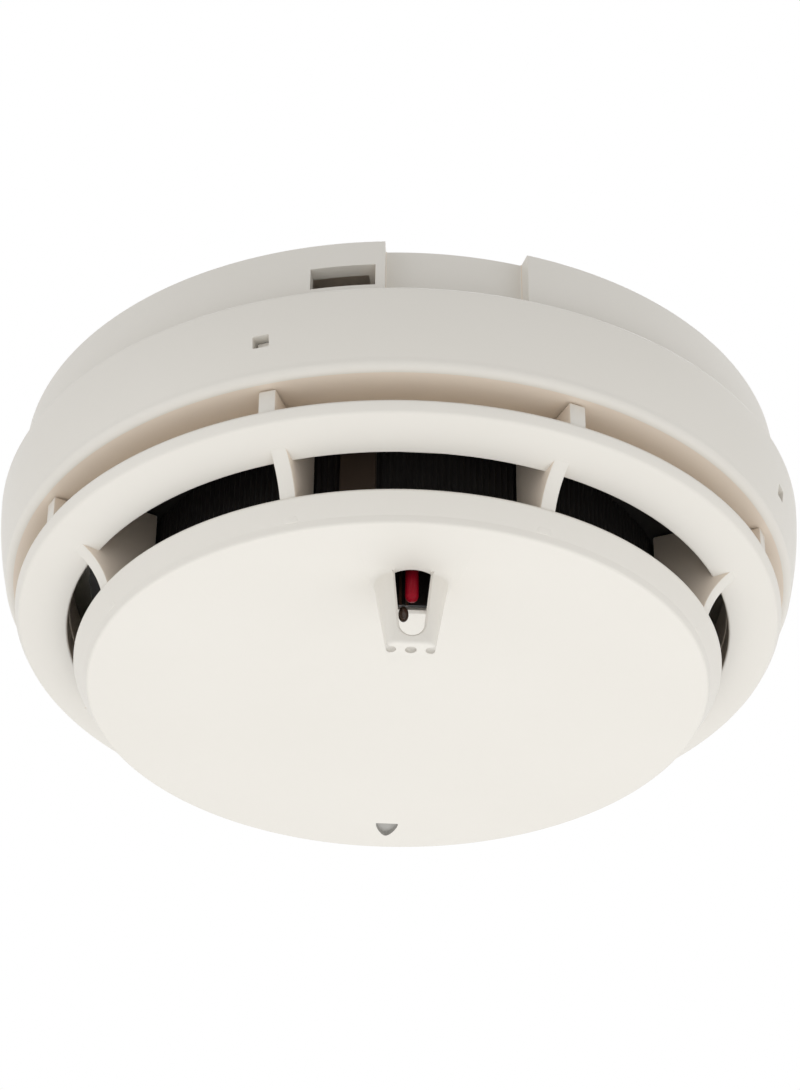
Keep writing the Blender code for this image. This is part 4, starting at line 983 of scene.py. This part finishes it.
def makeScreen():
    count = screen["ribs"] * 8
    swing = np.linspace(0, 2 * np.pi, count, endpoint=False)
    rib = 0.5 + 0.5 * np.cos(swing * screen["ribs"])
    outer = screen["radius"] - screen["depth"] * (1 - rib)
    inner = np.full(count, screen["bore"])
    radii = np.stack([outer, outer, inner, inner], 1)
    levels = np.array([screen["top"], screen["foot"], screen["foot"], screen["top"]])
    around = np.stack([np.sin(swing), -np.cos(swing)], 1)
    points = np.empty((count, 4, 3))
    points[..., :2] = around[:, None] * radii[..., None]
    points[..., 2] = levels
    i = np.arange(count)[:, None]
    j = np.arange(4)[None]
    after, below = (i + 1) % count, (j + 1) % 4
    quads = np.stack([i * 4 + j, i * 4 + below, after * 4 + below, after * 4 + j], -1)
    tube = meshObject("tube", points.reshape(-1, 3), quads.reshape(-1, 4).tolist())
    half = pillar["width"] / 2
    outward = (screen["bore"] + pillar["sunk"], screen["radius"] + pillar["reach"])
    height = (screen["foot"] + pillar["short"], screen["top"] - pillar["short"])
    post = easeEdges(boxPrism("pillar", (-half, half), outward, height, pillar["azimuth"]), 0.25)
    shell = gather("insectScreenRibs", [tube, post])
    x, y = faceValues(shell, "center")[:2]
    return markFaces(shell, "toneAndShade", np.hypot(x, y) > screen["radius"] + 0.02)


screenRibs = dress(smoothBy(makeScreen(), 50), plastics["chamberBlack"])
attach(screenRibs, "head")
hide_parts("insect_screen")
print("insect screen made")


# sensor in the cage: round-ended guide rod, drop-shaped bead
guide = dict(radius=0.9, forward=1.45, top=-17.6, foot=-42.0)
bead = dict(radius=0.75, foot=-44.1, length=2.4, aside=-1.0, back=0.25, neck=0.28)


def makeGuide():
    r, top = guide["radius"], guide["top"]
    turn = np.radians(np.linspace(0, -90, 14))
    dome = np.stack([np.cos(turn) * r, np.sin(turn) * r + guide["foot"] + r], 1)
    path = np.concatenate([[(0, top), (r, top)], dome])
    return turned("lightGuideRod", path, 40, False, (0.0, -cage["offset"] - guide["forward"]))


def makeBead():  # bead radius follows sin(t) with a slimmer neck towards the leads
    t = np.linspace(0, np.pi, 26)
    share = (1 - np.cos(t)) / 2
    radius = bead["radius"] * np.sin(t) * (1 - bead["neck"] + bead["neck"] * np.sqrt(share))
    height = bead["foot"] + bead["length"] * (1 - share)
    path = np.stack([radius, height], 1)
    return turned("thermistorDrop", path, 40, False, (bead["aside"], -cage["offset"] + bead["back"]))


guideRod = dress(smoothBy(makeGuide(), 40), guideRed)
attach(guideRod, "head")
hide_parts("light_guide")
beadDrop = dress(smoothBy(makeBead(), 60), plastics["beadBrown"])
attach(beadDrop, "head")
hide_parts("thermistor_bead")
print("sensor made")


# carried CAD nodes take their finish by name
nodeFinish = {
    "rear_chassis": plastics["coverWhite"],
    "inner_carrier": plastics["chamberBlack"],
    "sensor_stalk": plastics["chamberBlack"],
    # the thermistor leads take the bead's dark brown in place of bright wire: painted shade for leads lying
    # in the cage's shade
    "thermistor_lead_1": plastics["beadBrown"],
    "thermistor_lead_2": plastics["beadBrown"],
    "microcontroller": plastics["chipBlack"],
    "indicator_led": plastics["lensClear"],
    "circuit_board": boardGreen,
    "supply_capacitor": metals["platedSteel"],
}
redrawn = ("mounting_base", "outer_housing", "lower_cover", "insect_screen", "light_guide", "thermistor_bead")
for nodeName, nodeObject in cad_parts.items():
    if nodeName in redrawn:
        continue
    if nodeName in nodeFinish:
        finish = nodeFinish[nodeName]
    elif nodeName.startswith("contact_"):
        finish = metals["springBronze"]
    else:
        finish = metals["platedSteel"]
    nodeObject.data.materials.clear()
    nodeObject.data.materials.append(finish)
print("carried nodes dressed")


# camera: fitted to the photo, below and in front, looking up
shot = dict(
    elevation=0.6006069,  # radians
    roll=-0.0099722,  # radians
    turn=-3.35,  # degrees
    distance=420.0,
    aim=(0.18256, 0.0, -11.3587),
    focal=2827.80,  # in pixels of a picture of the frame height
    frameHeight=1090.0,
    sensor=36.0,
)


def makeCamera():
    rise, roll, turn = shot["elevation"], shot["roll"], math.radians(shot["turn"])
    forward = np.array([0.0, math.cos(rise), math.sin(rise)])
    right = np.array([1.0, 0.0, 0.0])
    up = np.array([0.0, -math.sin(rise), math.cos(rise)])
    eye = np.array(shot["aim"]) - shot["distance"] * forward
    sideways = math.cos(roll) * right - math.sin(roll) * up
    upright = math.sin(roll) * right + math.cos(roll) * up
    spin = np.array([[math.cos(turn), -math.sin(turn), 0], [math.sin(turn), math.cos(turn), 0], [0, 0, 1]])
    pose = np.eye(4)
    pose[:3, :3] = spin @ np.stack([sideways, upright, -forward], 1)
    pose[:3, 3] = spin @ eye * mm
    data = bpy.data.cameras.new("shotCamera")
    data.sensor_fit = "VERTICAL"
    data.sensor_height = shot["sensor"]
    data.lens = shot["focal"] * shot["sensor"] / shot["frameHeight"]
    data.clip_start = 0.01
    data.clip_end = 20.0
    camera = bpy.data.objects.new("shotCamera", data)
    scene.collection.objects.link(camera)
    camera.matrix_world = Matrix(pose.tolist())
    scene.camera = camera


makeCamera()

# soft studio light: an even glow from all round and a wide one from below, with small lamps for the shading
# no lamp stands exactly on the axis, because its sideways direction comes from its place
lights = {
    "wideBelow": dict(place=(0.0, 0.001, -0.8), size=3.0, power=9.8),
    "belowRight": dict(place=(0.45, -0.25, -0.6), size=0.6, power=0.7),
    "left": dict(place=(-0.9, -0.35, -0.1), size=0.9, power=1.7),
    "right": dict(place=(0.9, -0.35, -0.1), size=0.9, power=0.7),
    "belowBehind": dict(place=(0.0, 0.5, -0.7), size=0.8, power=1.15),
    "overhead": dict(place=(0.2, 0.3, 0.9), size=0.9, power=3.0),
}
lightAim = (0.0, 0.0, -0.03)
ambient = 0.56
lightColour = (0.965, 0.978, 1.0)
floor = dict(half=3000.0, level=-850.0, colour=(0.92, 0.92, 0.91))


def makeLights():
    for name, spec in lights.items():
        lamp = bpy.data.lights.new(name, "AREA")
        lamp.size = spec["size"]
        lamp.energy = spec["power"]
        lamp.color = lightColour
        obj = bpy.data.objects.new(name, lamp)
        scene.collection.objects.link(obj)
        away = np.array(spec["place"]) - np.array(lightAim)
        away /= np.linalg.norm(away)
        side = np.cross([0.0, 0.0, 1.0], away)
        side /= np.linalg.norm(side)
        pose = np.eye(4)
        pose[:3, :3] = np.stack([side, np.cross(away, side), away], 1)
        pose[:3, 3] = spec["place"]
        obj.matrix_world = Matrix(pose.tolist())


def makeWorld():
    world = bpy.data.worlds.new("studio")
    scene.world = world
    world.use_nodes = True
    tree = world.node_tree
    tree.nodes.clear()
    path = nodeIn(tree, "ShaderNodeLightPath", (-700, 0))
    first = nodeIn(tree, "ShaderNodeMath", (-450, 50), operation="MAXIMUM")
    second = nodeIn(tree, "ShaderNodeMath", (-250, 50), operation="MAXIMUM")
    soft = nodeIn(tree, "ShaderNodeBackground", (0, -100))
    soft.inputs["Strength"].default_value = ambient
    plain = nodeIn(tree, "ShaderNodeBackground", (0, 100))
    plain.inputs["Color"].default_value = (1.0, 1.0, 1.0, 1.0)
    soft.inputs["Color"].default_value = (*lightColour, 1.0)
    pick = nodeIn(tree, "ShaderNodeMixShader", (250, 0))
    out = nodeIn(tree, "ShaderNodeOutputWorld", (450, 0))
    link(tree, path, "Is Camera Ray", first, 0)
    link(tree, path, "Is Glossy Ray", first, 1)
    link(tree, first, "Value", second, 0)
    link(tree, path, "Is Transmission Ray", second, 1)
    link(tree, second, "Value", pick, "Fac")
    link(tree, soft, "Background", pick, 1)
    link(tree, plain, "Background", pick, 2)
    link(tree, pick, "Shader", out, "Surface")


def makeFloor():
    half, level = floor["half"], floor["level"]
    corners = [(-half, -half, level), (half, -half, level), (half, half, level), (-half, half, level)]
    sheet = meshObject("studioFloor", corners, [[0, 1, 2, 3]])
    material = bpy.data.materials.new("floorPale")
    material.use_nodes = True
    tree = material.node_tree
    shader = tree.nodes["Principled BSDF"]
    shader.inputs["Roughness"].default_value = 0.8
    shader.inputs["Base Color"].default_value = (*floor["colour"], 1.0)
    dress(sheet, material)


makeLights()
makeWorld()
makeFloor()
print("camera and light set")
